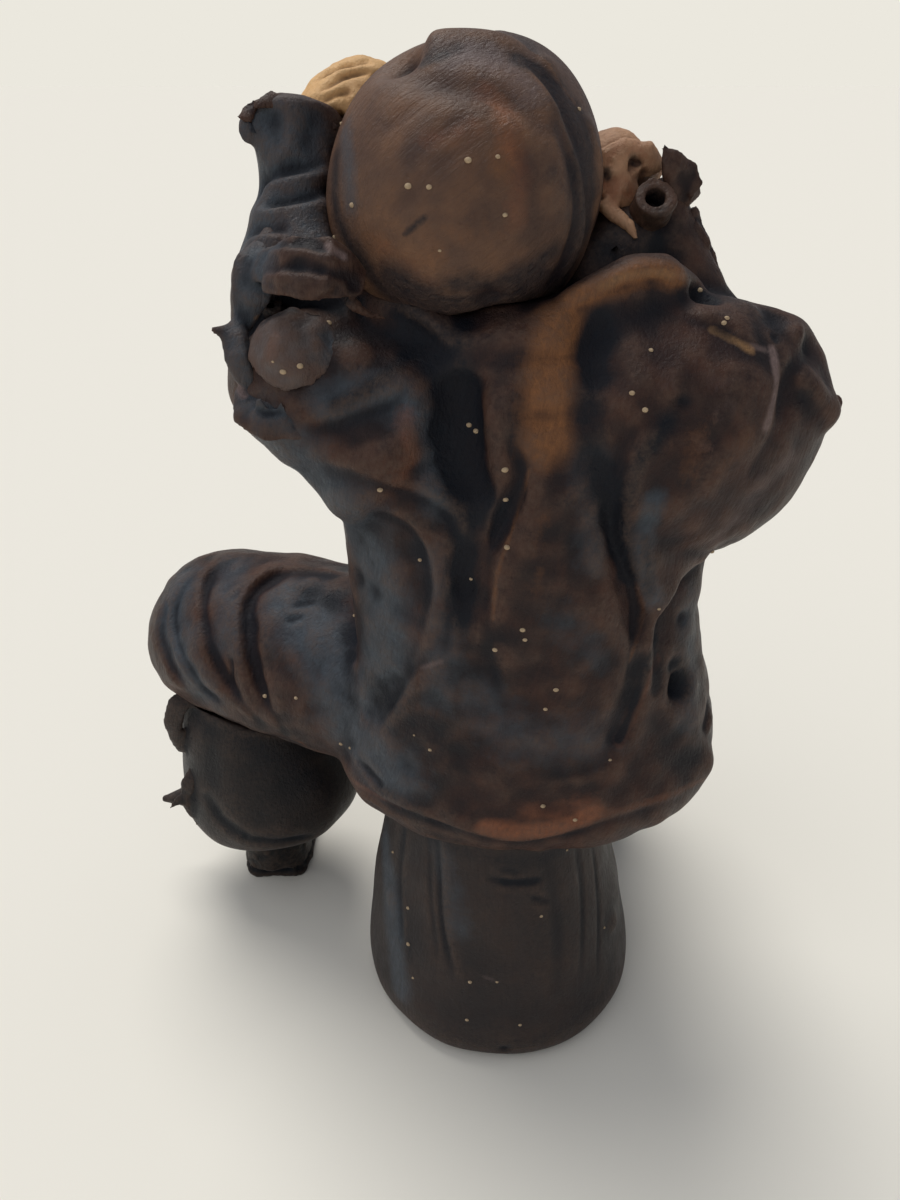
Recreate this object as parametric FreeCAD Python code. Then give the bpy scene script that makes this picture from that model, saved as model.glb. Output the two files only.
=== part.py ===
import FreeCAD, Part
import math
import os
from FreeCAD import Vector

# A seated man in rags, hand-modelled in clay: rounded lumps luted to each other on a tapered stump.
# Millimetres. Z is up, the base of the stump is at Z zero and centred on the origin.
# The figure looks along +Y. Its left hand side is at -X.

# Stump
stump_height = 57.0
stump_foot_radius = 24.2
stump_lean = -2.0
stump_shares = ((0.0, 0.93), (0.045, 0.99), (0.11, 1.0), (0.28, 0.945), (0.5, 0.84), (0.75, 0.735), (1.0, 0.66))

# Coat: the whole body form is a stack of ovals, (height, sideways, forward, half width, half depth)
coat_hem_height = 44.5
coat_height = 78.0
coat_half_width = 30.0
coat_half_depth = 22.0
coat_front_plane = 7.0
coat_shares = (
    (0.0, 0.09, -0.05, 0.74, 0.70), (0.026, 0.09, -0.05, 0.94, 0.91), (0.07, 0.10, -0.05, 1.0, 1.0),
    (0.15, 0.11, -0.07, 0.985, 0.98), (0.25, 0.10, -0.09, 0.94, 0.91), (0.38, 0.075, -0.13, 0.86, 0.84),
    (0.51, 0.055, -0.155, 0.83, 0.815), (0.64, 0.03, -0.18, 0.83, 0.77), (0.75, 0.015, -0.22, 0.82, 0.70),
    (0.865, 0.0, -0.25, 0.71, 0.61), (0.955, -0.016, -0.27, 0.48, 0.45), (1.0, -0.016, -0.27, 0.25, 0.27))
# Furrows pressed into the back: (radius of the tool, places along it from the middle of the hem)
coat_furrows = (
    (4.2, ((-8.9, -18.8, 69.5), (-8.1, -20.2, 64.3), (-7.3, -21.3, 59.1))),
    (2.4, ((-7.0, -20.8, 56.5), (-7.4, -21.1, 49.5), (-7.8, -21.3, 42.5))),
    (1.8, ((-2.7, -20.2, 64.7), (-1.9, -20.8, 59.3), (-3.2, -21.2, 51.5))),
    (2.6, ((12.5, -18.9, 61.1), (12.1, -19.8, 52.5), (14.0, -19.5, 46.0), (16.1, -18.9, 39.5))),
    (1.8, ((17.3, -18.3, 34.0), (15.9, -19.5, 28.4), (13.9, -20.6, 22.2))))

# Shirt front: the chest and belly that fill the open coat
shirt_hem_height = 47.0
shirt_height = 68.0
shirt_half_width = 22.5
shirt_half_depth = 19.0
shirt_shares = (
    (0.0, 0.06, 0.0, 0.80, 0.62), (0.05, 0.06, 0.0, 0.95, 0.84), (0.15, 0.06, 0.02, 1.0, 0.98),
    (0.3, 0.05, 0.02, 1.0, 1.0), (0.5, 0.03, -0.04, 0.95, 0.93), (0.7, 0.02, -0.05, 0.98, 0.90),
    (0.85, 0.0, -0.08, 0.86, 0.80), (0.95, 0.0, -0.12, 0.62, 0.66), (1.0, 0.0, -0.15, 0.40, 0.50))

# Neck and head
neck_radius = 8.0
neck_foot_out = -3.0
neck_foot_forward = 0.5
neck_foot_height = 106.0
head_out = -7.7
head_forward = 0.0
head_height = 132.9
head_radius = 16.3
face_plane = 6.5
face_half_width = 13.6
face_reach = 17.2
face_half_height = 16.6
face_drop = 1.2
nose_width = 4.4
nose_length = 7.5
nose_reach = 3.0
nose_height_share = -0.10
cap_out = -4.3
cap_forward = 3.6
cap_height = 134.4
cap_half_width = 14.0
cap_half_depth = 14.2
cap_half_height = 15.4
cap_brim_height = 133.0
cap_brim_side_slope_share = -0.35
cap_brim_front_slope_share = 0.45

# Collar: a roll from the left shoulder round the nape to the right shoulder
collar_radius = 2.9
collar_nape_height = 119.0
collar_nape_back = 13.2
collar_reach = 15.5
collar_rise = 5.6
collar_shares = ((-1.0, 0.35, -0.62, 0.70), (-0.72, 0.72, -0.35, 0.92), (-0.36, 0.97, -0.08, 1.0), (0.0, 1.0, 0.0, 1.0),
                 (0.36, 0.86, 0.42, 1.05), (0.72, 0.66, 0.85, 1.1), (1.02, 0.52, 1.0, 1.0), (1.3, 0.3, 0.7, 0.7))

# Left arm
left_shoulder_out = -7.0
left_shoulder_forward = -6.8
left_shoulder_height = 101.0
left_elbow_out = -27.0
left_elbow_forward = -5.6
left_elbow_height = 112.4
left_sleeve_radius = 13.6
left_sleeve_shares = ((0.0, 0.94), (0.35, 0.93), (0.7, 0.86), (1.0, 0.75))
left_elbow_ball_radius = 5.7
left_elbow_ball_back = 5.2
left_elbow_ball_rise = 4.4
left_rag_radius = 7.2
left_rag_thickness = 2.3
left_cuff_out = -27.8
left_cuff_forward = 8.5
left_cuff_height = 141.2
left_fore_sleeve_radius = 9.5
left_fore_sleeve_shares = ((0.0, 0.92), (0.14, 0.98), (0.3, 1.0), (0.5, 0.80), (0.7, 0.585), (0.86, 0.57), (1.0, 0.64))
left_wrist_depth = 3.0
left_hand_out = -20.4
left_hand_forward = 16.4
left_hand_height = 141.7
left_hand_radius = 6.1
left_hand_shares = ((0.0, 0.66), (0.3, 0.72), (0.7, 0.96), (1.0, 1.0))

# Right arm: the sleeve is a wide drape, so its sections stand square to the X axis
right_shoulder_out = 8.0
right_sleeve_length = 26.5
right_sleeve_height = 105.5
right_sleeve_half_depth = 14.0
right_sleeve_half_height = 17.3
right_sleeve_shares = (
    (-0.35, -0.36, 0.20, 0.55, 0.50), (-0.1, -0.42, 0.10, 0.86, 0.86), (0.12, -0.42, 0.05, 0.97, 0.98),
    (0.36, -0.40, 0.03, 0.96, 1.0), (0.7, -0.28, -0.02, 0.86, 0.98),
    (0.95, -0.15, 0.0, 0.72, 0.83), (1.12, -0.08, 0.07, 0.55, 0.60), (1.2, -0.07, 0.12, 0.34, 0.34))
right_elbow_out = 29.4
right_elbow_forward = 1.0
right_elbow_rise = 1.9
right_point_radius = 4.2
right_point_length = 5.6
right_cuff_out = 14.6
right_cuff_forward = 6.6
right_cuff_height = 132.6
right_fore_sleeve_radius = 6.8
right_fore_sleeve_shares = ((0.0, 1.0), (0.35, 0.84), (0.65, 0.74), (1.0, 0.68))
right_cuff_radius = 6.0
right_cuff_wall = 1.4
right_cuff_length = 3.4
right_cuff_spike_length = 2.6
right_cuff_spike_radius = 2.6
right_hand_out = 11.4
right_hand_forward = 9.6
right_hand_height = 135.0
right_hand_radius = 4.9

# Horn: a rolled tube bent in one arc from the right fist, past the mouth, to the left fist
horn_radius = 2.55
horn_bore_radius = 1.25
horn_bore_depth = 9.0
horn_lip_out = 15.5
horn_lip_forward = -0.4
horn_lip_height = 133.0
horn_mouth_out = -6.0
horn_mouth_forward = 20.6
horn_mouth_height = 126.5
horn_tip_out = -20.2
horn_tip_forward = 15.4
horn_tip_height = 139.4

# Legs
left_hip_out = -9.0
left_hip_forward = 2.0
left_hip_height = 60.0
left_knee_out = -48.0
left_knee_forward = 21.5
left_knee_height = 58.0
thigh_radius = 16.2
thigh_shares = ((0.0, 0.98), (0.3, 0.99), (0.62, 1.0), (0.85, 0.98), (1.0, 0.93))
# Folds wrapped over the left knee, their places taken from the knee
left_thigh_furrows = (
    (1.9, ((10.5, -8.6, 17.4), (5.8, -12.7, 14.9), (5.6, -16.9, 11.9),
           (6.6, -20.8, 7.0), (8.9, -23.2, -0.2))),
    (1.5, ((-3.0, -3.4, 15.1), (-3.3, -8.1, 13.4), (-2.5, -13.6, 9.8),
           (-0.6, -17.5, 5.4), (3.8, -20.8, 0.0))),
    (1.4, ((-9.8, -7.6, 9.5), (-9.7, -10.3, 6.6), (-8.1, -13.3, 1.7),
           (-4.4, -15.8, -1.7), (0.0, -18.4, -2.9))))
right_hip_out = 9.0
right_hip_forward = 4.0
right_hip_height = 59.0
right_knee_out = 14.0
right_knee_forward = 36.0
right_knee_height = 59.0
breeches_hem_height = 15.2
breeches_height = 35.0
breeches_half_width = 17.0
breeches_half_depth = 15.6
breeches_shares = (
    (0.0, 0.0, -0.07, 0.70, 0.66), (0.05, 0.0, -0.07, 0.88, 0.84), (0.14, 0.03, -0.07, 0.97, 0.95),
    (0.32, 0.05, -0.03, 1.0, 1.0), (0.52, 0.0, 0.0, 0.93, 0.96), (0.76, -0.08, 0.02, 0.83, 0.88),
    (1.0, -0.12, 0.02, 0.66, 0.72))
left_ankle_out = -45.6
left_ankle_forward = 22.0
right_ankle_out = 13.6
right_ankle_forward = 38.6
right_breeches_slim_share = 0.90
tatter_length = 5.4
tatter_radius = 3.4
shoe_length = 27.0
shoe_half_width = 7.1
shoe_height = 10.0
shoe_heel_behind = 5.0
ankle_radius = 6.6
ankle_height = 19.0
shoe_shares = ((0.0, 0.60, 0.62), (0.06, 0.85, 0.90), (0.2, 0.96, 1.0), (0.42, 1.0, 0.92), (0.66, 1.0, 0.74),
               (0.86, 0.86, 0.56), (0.97, 0.55, 0.36))

# Shared shapes of hand-rounded clay
dome_shares = ((0.42, 0.90), (0.72, 0.68), (0.91, 0.40), (0.985, 0.16))
oval_points = 12
far = 200.0

UP = Vector(0, 0, 1)
RIGHT = Vector(1, 0, 0)
FORWARD = Vector(0, 1, 0)


def unit(vector):
    """The direction of a vector."""
    return vector * (1.0 / vector.Length)


def oval(centre, side, top, side_radius, top_radius):
    """A closed oval round a centre, in three arcs that each cover a third of it."""
    points = []
    for step in range(oval_points):
        turn = 2 * math.pi * step / oval_points
        points.append(centre + side * (side_radius * math.cos(turn)) + top * (top_radius * math.sin(turn)))
    curve = Part.BSplineCurve()
    curve.interpolate(Points=points, PeriodicFlag=True)
    joints = curve.getKnots()[::oval_points // 3]
    arcs = []
    for start, end in zip(joints, joints[1:]):
        arc = curve.copy()
        arc.segment(start, end)
        arcs.append(arc.toShape())
    return Part.Wire(arcs)


def skin(ovals):
    """A smooth solid through a row of ovals."""
    return Part.makeLoft(ovals, True, False)


def roll(stations, side_hint, dome_start=False, dome_end=False):
    """A rolled length of clay through (centre, side radius, top radius), its ends rounded on request."""
    rows = []
    last = len(stations) - 1
    for index, (centre, side_radius, top_radius) in enumerate(stations):
        along = unit(stations[min(index + 1, last)][0] - stations[max(index - 1, 0)][0])
        rows.append((centre, along, side_radius, top_radius))
    if dome_end:
        centre, along, side_radius, top_radius = rows[-1]
        for out_share, keep_share in dome_shares:
            rows.append((centre + along * (top_radius * out_share), along, side_radius * keep_share,
                         top_radius * keep_share))
    if dome_start:
        centre, along, side_radius, top_radius = rows[0]
        for out_share, keep_share in dome_shares:
            rows.insert(0, (centre - along * (top_radius * out_share), along, side_radius * keep_share,
                            top_radius * keep_share))
    ovals = []
    for centre, along, side_radius, top_radius in rows:
        side = unit(side_hint - along * side_hint.dot(along))
        ovals.append(oval(centre, side, along.cross(side), side_radius, top_radius))
    return skin(ovals)


def stack(foot, height, half_width, half_depth, shares):
    """A standing lump through level ovals, given in shares of its sizes."""
    ovals = []
    for up_share, side_share, forward_share, width_share, depth_share in shares:
        centre = foot + Vector(side_share * half_width, forward_share * half_depth, up_share * height)
        ovals.append(oval(centre, RIGHT, FORWARD, width_share * half_width, depth_share * half_depth))
    return skin(ovals)


def limb(start, end, radius, shares, side_hint, dome_end=False):
    """A straight limb from one joint to the next, its girth in shares of one radius."""
    stations = []
    for along_share, girth_share in shares:
        centre = start + (end - start) * along_share
        stations.append((centre, radius * girth_share, radius * girth_share))
    return roll(stations, side_hint, dome_end=dome_end)


def ball(centre, half_width, half_depth, half_height):
    """A rounded pellet of clay."""
    rows = []
    for step in range(-6, 7):
        turn = math.pi / 2 * step / 6.2
        level = centre + UP * (half_height * math.sin(turn))
        rows.append(oval(level, RIGHT, FORWARD, half_width * math.cos(turn), half_depth * math.cos(turn)))
    return skin(rows)


def beyond(point, direction):
    """All the space on one side of a plane."""
    block = Part.makeBox(2 * far, 2 * far, far)
    block.translate(Vector(-far, -far, 0))
    block.Placement = FreeCAD.Placement(point, FreeCAD.Rotation(UP, direction)).multiply(block.Placement)
    return block


def seat(form, *carriers):
    """Press a lump on to what carries it: the clay there gives way, and the main lump stays."""
    pressed = form.cut(list(carriers))
    return max(pressed.Solids, key=lambda solid: solid.Volume)


def furrows(table, origin):
    """Round tools that press furrows, each bent along its places round an origin."""
    tools = []
    for radius, places in table:
        stations = [(origin + Vector(*place), radius, radius) for place in places]
        tools.append(roll(stations, RIGHT - FORWARD, dome_start=True, dome_end=True))
    return tools


def make_stump():
    """The tapered drum that the figure sits on."""
    ovals = []
    for up_share, radius_share in stump_shares:
        centre = Vector(stump_lean * up_share, 0, stump_height * up_share)
        radius = stump_foot_radius * radius_share
        ovals.append(oval(centre, RIGHT, FORWARD, radius, radius))
    return skin(ovals)


def make_coat(stump):
    """The back and sides of the body, open in front."""
    form = stack(UP * coat_hem_height, coat_height, coat_half_width, coat_half_depth, coat_shares)
    tools = furrows(coat_furrows, UP * coat_hem_height)
    return seat(form, beyond(FORWARD * coat_front_plane, FORWARD), stump, *tools)


def make_shirt_front(stump):
    """The chest and belly, butted against the coat."""
    form = stack(UP * shirt_hem_height, shirt_height, shirt_half_width, shirt_half_depth, shirt_shares)
    return seat(form, beyond(FORWARD * coat_front_plane, -FORWARD), stump)


head_centre = Vector(head_out, head_forward, head_height)


def make_head(coat):
    """The smooth ball of the head, cut square in front for the face."""
    form = ball(head_centre, head_radius, head_radius, head_radius)
    return seat(form, beyond(FORWARD * face_plane, FORWARD), coat)


def make_face(coat, shirt_front):
    """The front of the head, a little longer than the ball."""
    form = ball(head_centre - UP * face_drop, face_half_width, face_reach, face_half_height)
    return seat(form, beyond(FORWARD * face_plane, -FORWARD), coat, shirt_front)


def make_nose(*carriers):
    """A small wedge pressed on the face."""
    centre = head_centre + Vector(0, face_reach - nose_reach * 0.5, face_half_height * nose_height_share)
    return seat(ball(centre, nose_width / 2, nose_reach, nose_length / 2), *carriers)


def make_neck(coat, shirt_front, head, face):
    """The short neck between the chest and the chin."""
    foot = Vector(neck_foot_out, neck_foot_forward, neck_foot_height)
    stations = [(foot, neck_radius, neck_radius), (head_centre, neck_radius, neck_radius)]
    return seat(roll(stations, RIGHT), coat, shirt_front, head, face)


def make_cap(head, face):
    """The thick slab over the crown and the right side of the head."""
    form = ball(Vector(cap_out, cap_forward, cap_height), cap_half_width, cap_half_depth, cap_half_height)
    brim = Vector(head_out, head_forward, cap_brim_height)
    below = unit(Vector(cap_brim_side_slope_share, cap_brim_front_slope_share, -1))
    return seat(form, beyond(brim, below), head, face)


def make_collar(*carriers):
    """The rolled strip round the nape."""
    stations = []
    for side_share, back_share, rise_share, girth_share in collar_shares:
        centre = Vector(side_share * collar_reach, -collar_nape_back * back_share,
                        collar_nape_height + collar_rise * rise_share)
        stations.append((centre, collar_radius * girth_share, collar_radius * girth_share))
    return seat(roll(stations, UP, dome_start=True, dome_end=True), *carriers)


left_shoulder = Vector(left_shoulder_out, left_shoulder_forward, left_shoulder_height)
left_elbow = Vector(left_elbow_out, left_elbow_forward, left_elbow_height)
left_cuff = Vector(left_cuff_out, left_cuff_forward, left_cuff_height)
left_hand_centre = Vector(left_hand_out, left_hand_forward, left_hand_height)
left_ball_centre = left_elbow + Vector(0, -left_elbow_ball_back, left_elbow_ball_rise)


def make_left_upper_sleeve(*carriers):
    """The thick upper arm in its sleeve."""
    form = limb(left_shoulder, left_elbow, left_sleeve_radius, left_sleeve_shares, UP, dome_end=True)
    return seat(form, *carriers)


def make_left_elbow(*carriers):
    """The bare elbow, a pellet that shows in the torn hole."""
    radius = left_elbow_ball_radius
    return seat(ball(left_ball_centre, radius, radius, radius), *carriers)


def make_left_elbow_rag(*carriers):
    """The torn lips round the elbow, a ring of clay."""
    axis = unit(left_ball_centre - left_elbow)
    ring = Part.makeTorus(left_rag_radius, left_rag_thickness, left_ball_centre, axis)
    return seat(ring, *carriers)


def make_left_fore_sleeve(*carriers):
    """The forearm's sleeve, up to its cuff."""
    form = limb(left_elbow, left_cuff, left_fore_sleeve_radius, left_fore_sleeve_shares, RIGHT)
    return seat(form, *carriers)


def make_left_hand(*carriers):
    """The wrist and fist above the cuff."""
    wrist = left_cuff - unit(left_cuff - left_elbow) * left_wrist_depth
    return seat(limb(wrist, left_hand_centre, left_hand_radius, left_hand_shares, UP, dome_end=True), *carriers)


def make_right_upper_sleeve(*carriers):
    """The wide drape of the right sleeve."""
    ovals = []
    for out_share, forward_share, rise_share, depth_share, height_share in right_sleeve_shares:
        centre = Vector(right_shoulder_out + right_sleeve_length * out_share,
                        right_sleeve_half_depth * forward_share,
                        right_sleeve_height + right_sleeve_half_height * rise_share)
        ovals.append(oval(centre, FORWARD, UP, right_sleeve_half_depth * depth_share,
                          right_sleeve_half_height * height_share))
    return seat(skin(ovals), *carriers)


right_elbow = Vector(right_elbow_out, right_elbow_forward, right_sleeve_height + right_elbow_rise)
right_cuff_centre = Vector(right_cuff_out, right_cuff_forward, right_cuff_height)
right_hand_centre = Vector(right_hand_out, right_hand_forward, right_hand_height)
right_fore_along = unit(right_cuff_centre - right_elbow)


def make_right_elbow_point(*carriers):
    """The pinched tip that stands out at the right elbow."""
    start_out = right_shoulder_out + right_sleeve_length * right_sleeve_shares[-1][0] - right_point_radius / 2
    start = Vector(start_out, 0, right_sleeve_height + right_elbow_rise)
    cone = Part.makeCone(right_point_radius, right_point_radius / 5, right_point_length, start, RIGHT)
    return seat(cone, *carriers)


def make_right_fore_sleeve(*carriers):
    """The sleeve of the raised right forearm."""
    form = limb(right_elbow, right_cuff_centre, right_fore_sleeve_radius, right_fore_sleeve_shares, FORWARD)
    return seat(form, *carriers)


def make_right_cuff(*carriers):
    """The torn cuff: a short band with one standing tongue."""
    along = right_fore_along
    band = Part.makeCylinder(right_cuff_radius, right_cuff_length, right_cuff_centre, along)
    foot = right_cuff_centre + Vector(right_cuff_radius - right_cuff_wall * 2, 0, 0)
    spike = Part.makeCone(right_cuff_spike_radius, right_cuff_wall / 2,
                          right_cuff_length + right_cuff_spike_length, foot, UP)
    bore = Part.makeCylinder(right_cuff_radius - right_cuff_wall, right_cuff_length * 3,
                             right_cuff_centre, along)
    return seat(band.fuse(spike), bore, *carriers)


def make_right_hand(*carriers):
    """The right fist in its cuff."""
    radius = right_cuff_radius - right_cuff_wall
    tip = right_hand_radius
    stations = [(right_cuff_centre, radius, radius), (right_hand_centre, tip, tip)]
    return seat(roll(stations, UP, dome_end=True), *carriers)


def bent_rod(bend, radius, length):
    """A round rod that follows the first stretch of an arc."""
    circle = bend.Curve
    start = bend.valueAt(bend.FirstParameter)
    disc = Part.Face(Part.Wire([Part.makeCircle(radius, start, bend.tangentAt(bend.FirstParameter))]))
    return disc.revolve(circle.Center, circle.Axis, math.degrees(length / circle.Radius))


def make_horn():
    """The rolled tube, pricked open at the end that shows behind."""
    lip = Vector(horn_lip_out, horn_lip_forward, horn_lip_height)
    mouth = Vector(horn_mouth_out, horn_mouth_forward, horn_mouth_height)
    tip = Vector(horn_tip_out, horn_tip_forward, horn_tip_height)
    bend = Part.Arc(lip, mouth, tip).toShape()
    return seat(bent_rod(bend, horn_radius, bend.Length), bent_rod(bend, horn_bore_radius, horn_bore_depth))


left_hip = Vector(left_hip_out, left_hip_forward, left_hip_height)
left_knee = Vector(left_knee_out, left_knee_forward, left_knee_height)
right_hip = Vector(right_hip_out, right_hip_forward, right_hip_height)
right_knee = Vector(right_knee_out, right_knee_forward, right_knee_height)


def make_thigh(hip, knee, *carriers):
    """A thigh in its breeches, rounded at the knee."""
    return seat(limb(hip, knee, thigh_radius, thigh_shares, UP, dome_end=True), *carriers)


def make_breeches_leg(out, forward, slim_share, *carriers):
    """The bell of a breeches leg below the knee."""
    form = stack(Vector(out, forward, breeches_hem_height), breeches_height,
                 breeches_half_width * slim_share, breeches_half_depth * slim_share, breeches_shares)
    return seat(form, *carriers)


def make_left_breeches_tatters(*carriers):
    """The torn tongue at the outer hem of the left leg."""
    start = Vector(left_ankle_out - breeches_half_width + tatter_radius, left_ankle_forward,
                   breeches_hem_height + tatter_radius)
    direction = unit(Vector(-1, 0, -0.12))
    cone = Part.makeCone(tatter_radius, tatter_radius / 6, tatter_length + tatter_radius, start, direction)
    return seat(cone, *carriers)


def make_shoe(out, forward, *carriers):
    """A plain shoe with the ankle that goes up into the breeches, flat underneath."""
    ovals = []
    heel = forward - shoe_heel_behind
    for along_share, width_share, height_share in shoe_shares:
        centre = Vector(out, heel + shoe_length * along_share, 0)
        ovals.append(oval(centre, RIGHT, UP, shoe_half_width * width_share, shoe_height * height_share))
    foot = Vector(out, forward, shoe_height / 3)
    ankle = Part.makeCylinder(ankle_radius, ankle_height - shoe_height / 3, foot)
    return seat(skin(ovals).fuse(ankle), beyond(Vector(), -UP), *carriers)


def make_all():
    """Every lump, each seated on those that were there before it."""
    made = {}
    made["stump"] = make_stump()
    made["coat"] = make_coat(made["stump"])
    made["shirt_front"] = make_shirt_front(made["stump"])
    coat, shirt_front = made["coat"], made["shirt_front"]
    body = (coat, shirt_front, made["stump"])
    made["head"] = make_head(coat)
    made["face"] = make_face(coat, shirt_front)
    head, face = made["head"], made["face"]
    made["neck"] = make_neck(coat, shirt_front, head, face)
    made["cap"] = make_cap(head, face)
    made["nose"] = make_nose(face, made["cap"])
    made["horn"] = make_horn()
    horn = made["horn"]
    made["left_upper_sleeve"] = make_left_upper_sleeve(*body, head, face, made["neck"])
    left_upper = made["left_upper_sleeve"]
    made["left_fore_sleeve"] = make_left_fore_sleeve(left_upper, coat, head, face, made["cap"], horn)
    made["left_elbow"] = make_left_elbow(left_upper, made["left_fore_sleeve"])
    made["left_elbow_rag"] = make_left_elbow_rag(left_upper, made["left_fore_sleeve"], made["left_elbow"], coat)
    made["left_hand"] = make_left_hand(made["left_fore_sleeve"], horn, head, face, made["cap"])
    made["right_upper_sleeve"] = make_right_upper_sleeve(*body, head, face, made["neck"])
    right_upper = made["right_upper_sleeve"]
    made["right_elbow_point"] = make_right_elbow_point(right_upper)
    made["right_fore_sleeve"] = make_right_fore_sleeve(right_upper, coat, head, face, made["cap"], horn)
    right_fore = made["right_fore_sleeve"]
    made["right_cuff"] = make_right_cuff(right_fore, head, face, made["cap"], horn)
    made["right_hand"] = make_right_hand(right_fore, made["right_cuff"], head, face, made["cap"], horn)
    made["collar"] = make_collar(coat, head, made["neck"], left_upper, right_upper,
                                 right_fore, made["left_fore_sleeve"])
    made["left_thigh"] = make_thigh(left_hip, left_knee, *body, *furrows(left_thigh_furrows, left_knee))
    made["right_thigh"] = make_thigh(right_hip, right_knee, *body, made["left_thigh"])
    made["left_breeches_leg"] = make_breeches_leg(left_ankle_out, left_ankle_forward, 1, made["left_thigh"])
    made["right_breeches_leg"] = make_breeches_leg(right_ankle_out, right_ankle_forward,
                                                   right_breeches_slim_share, made["right_thigh"],
                                                   made["stump"])
    made["left_breeches_tatters"] = make_left_breeches_tatters(made["left_breeches_leg"])
    made["left_shoe"] = make_shoe(left_ankle_out, left_ankle_forward, made["left_breeches_leg"])
    made["right_shoe"] = make_shoe(right_ankle_out, right_ankle_forward, made["right_breeches_leg"])
    return made


os.makedirs("parts", exist_ok=True)
for node, shape in make_all().items():
    shape.exportStep("parts/" + node + ".step")
    print(node, round(shape.Volume), shape.isValid(), shape.BoundBox)
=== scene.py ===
import math
import random

import bmesh
import bpy
import numpy as np
from mathutils import Matrix, Vector, noise
from mathutils.bvhtree import BVHTree

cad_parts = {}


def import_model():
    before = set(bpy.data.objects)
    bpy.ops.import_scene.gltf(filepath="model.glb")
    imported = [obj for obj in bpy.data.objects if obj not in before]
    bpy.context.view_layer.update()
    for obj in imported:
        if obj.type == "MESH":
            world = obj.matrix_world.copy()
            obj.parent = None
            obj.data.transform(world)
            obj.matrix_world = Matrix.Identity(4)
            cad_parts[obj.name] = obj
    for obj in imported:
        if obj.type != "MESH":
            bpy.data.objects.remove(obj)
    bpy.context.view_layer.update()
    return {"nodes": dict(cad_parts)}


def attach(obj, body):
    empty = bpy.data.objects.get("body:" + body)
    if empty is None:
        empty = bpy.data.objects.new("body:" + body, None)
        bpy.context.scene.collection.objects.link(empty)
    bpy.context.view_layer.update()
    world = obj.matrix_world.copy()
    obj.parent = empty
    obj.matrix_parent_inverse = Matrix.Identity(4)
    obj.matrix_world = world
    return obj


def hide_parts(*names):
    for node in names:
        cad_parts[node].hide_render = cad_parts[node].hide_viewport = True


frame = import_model()

# Camera: a phone held close behind the figure, tipped down. Places in the picture are given as pixels
# of its 900 by 1200 frame, and sight() is the line of view through such a pixel.
mm = 0.001
camera_place = Vector((-9.1, -117.5, 145.0)) * mm
camera_pitch = math.radians(30.0)
picture_width = 900
picture_height = 1200
picture_focal = 900
camera_data = bpy.data.cameras.new("camera")
camera_data.sensor_fit = "AUTO"
camera_data.sensor_width = 36.0
camera_data.lens = camera_data.sensor_width * picture_focal / picture_height
camera_data.clip_start = 0.01
camera = bpy.data.objects.new("camera", camera_data)
camera.location = camera_place
camera.rotation_euler = (math.pi / 2 - camera_pitch, 0, 0)
bpy.context.scene.collection.objects.link(camera)
bpy.context.scene.camera = camera


def sight(pixel):
    """The direction of view through a pixel."""
    across = pixel[0] - picture_width / 2
    down = pixel[1] - picture_height / 2
    cos, sin = math.cos(camera_pitch), math.sin(camera_pitch)
    return Vector((across, picture_focal * cos - down * sin, -picture_focal * sin - down * cos)).normalized()


# The clay of the clothes: coat, shirt front, sleeves, collar and thighs. The maker luted these lumps
# together and smeared the seams away, so they are worked here as one surface and then parted again
# along their seams. Tools and fingers pressed the folds in, and the hollows are darkened with painted shade.
weld_reach = 0.002


def gathered(nodes):
    """One mesh of the solids of these nodes, their loose triangles joined."""
    bm = bmesh.new()
    for node in nodes:
        bm.from_mesh(frame["nodes"][node].data)
    bmesh.ops.remove_doubles(bm, verts=bm.verts, dist=weld_reach * mm)
    return bm


least_side = 1e-4


def coil(bm, places, widths, sides=14, up=Vector((0, 0, 1)), flat=1.0):
    """A rolled or pulled length of clay through places in millimetres, one width for each."""
    rings = []
    last = len(places) - 1
    for index, place in enumerate(places):
        along = (Vector(places[min(index + 1, last)]) - Vector(places[max(index - 1, 0)])).normalized()
        side = along.cross(up)
        side = side.normalized() if side.length > least_side else Vector((1, 0, 0))
        top = side.cross(along)
        turn = Matrix((side, top, along)).transposed().to_4x4()
        size = Matrix.Diagonal((widths[index] * mm / 2, widths[index] * flat * mm / 2, 1, 1))
        seat = Matrix.Translation(Vector(place) * mm) @ turn @ size
        ring = bmesh.ops.create_circle(bm, segments=sides, radius=1.0, matrix=seat)["verts"]
        rings.append([edge for edge in {e for v in ring for e in v.link_edges}])
    for ring, following in zip(rings, rings[1:]):
        bmesh.ops.bridge_loops(bm, edges=ring + following)
    bmesh.ops.holes_fill(bm, edges=rings[0] + rings[-1], sides=sides)
    bmesh.ops.recalc_face_normals(bm, faces=bm.faces)


def pellet(bm, place, widths):
    """A rounded pellet of clay at a place in millimetres, with three widths."""
    size = Matrix.Diagonal((widths[0] * mm / 2, widths[1] * mm / 2, widths[2] * mm / 2, 1))
    seat = Matrix.Translation(Vector(place) * mm) @ size
    bmesh.ops.create_icosphere(bm, subdivisions=3, radius=1.0, matrix=seat)


def smooth_line(points, steps=5):
    """More points on a smooth line through given ones."""
    ends = [points[0]] + [tuple(p) for p in points] + [points[-1]]
    line = []
    for a, b, c, d in zip(ends, ends[1:], ends[2:], ends[3:]):
        a, b, c, d = (np.array(p, float) for p in (a, b, c, d))
        for step in range(steps):
            t = step / steps
            line.append(0.5 * (2 * b + (c - a) * t + (2 * a - 5 * b + 4 * c - d) * t ** 2
                               + (3 * b - a - 3 * c + d) * t ** 3))
    line.append(np.array(points[-1], float))
    return line


def spot(pixel, depth):
    """The place in millimetres on a pixel's line of view where y is depth."""
    way = sight(pixel)
    place = camera_place / mm
    return place + way * ((depth - place.y) / way.y)


front_distance = 80.0


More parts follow.
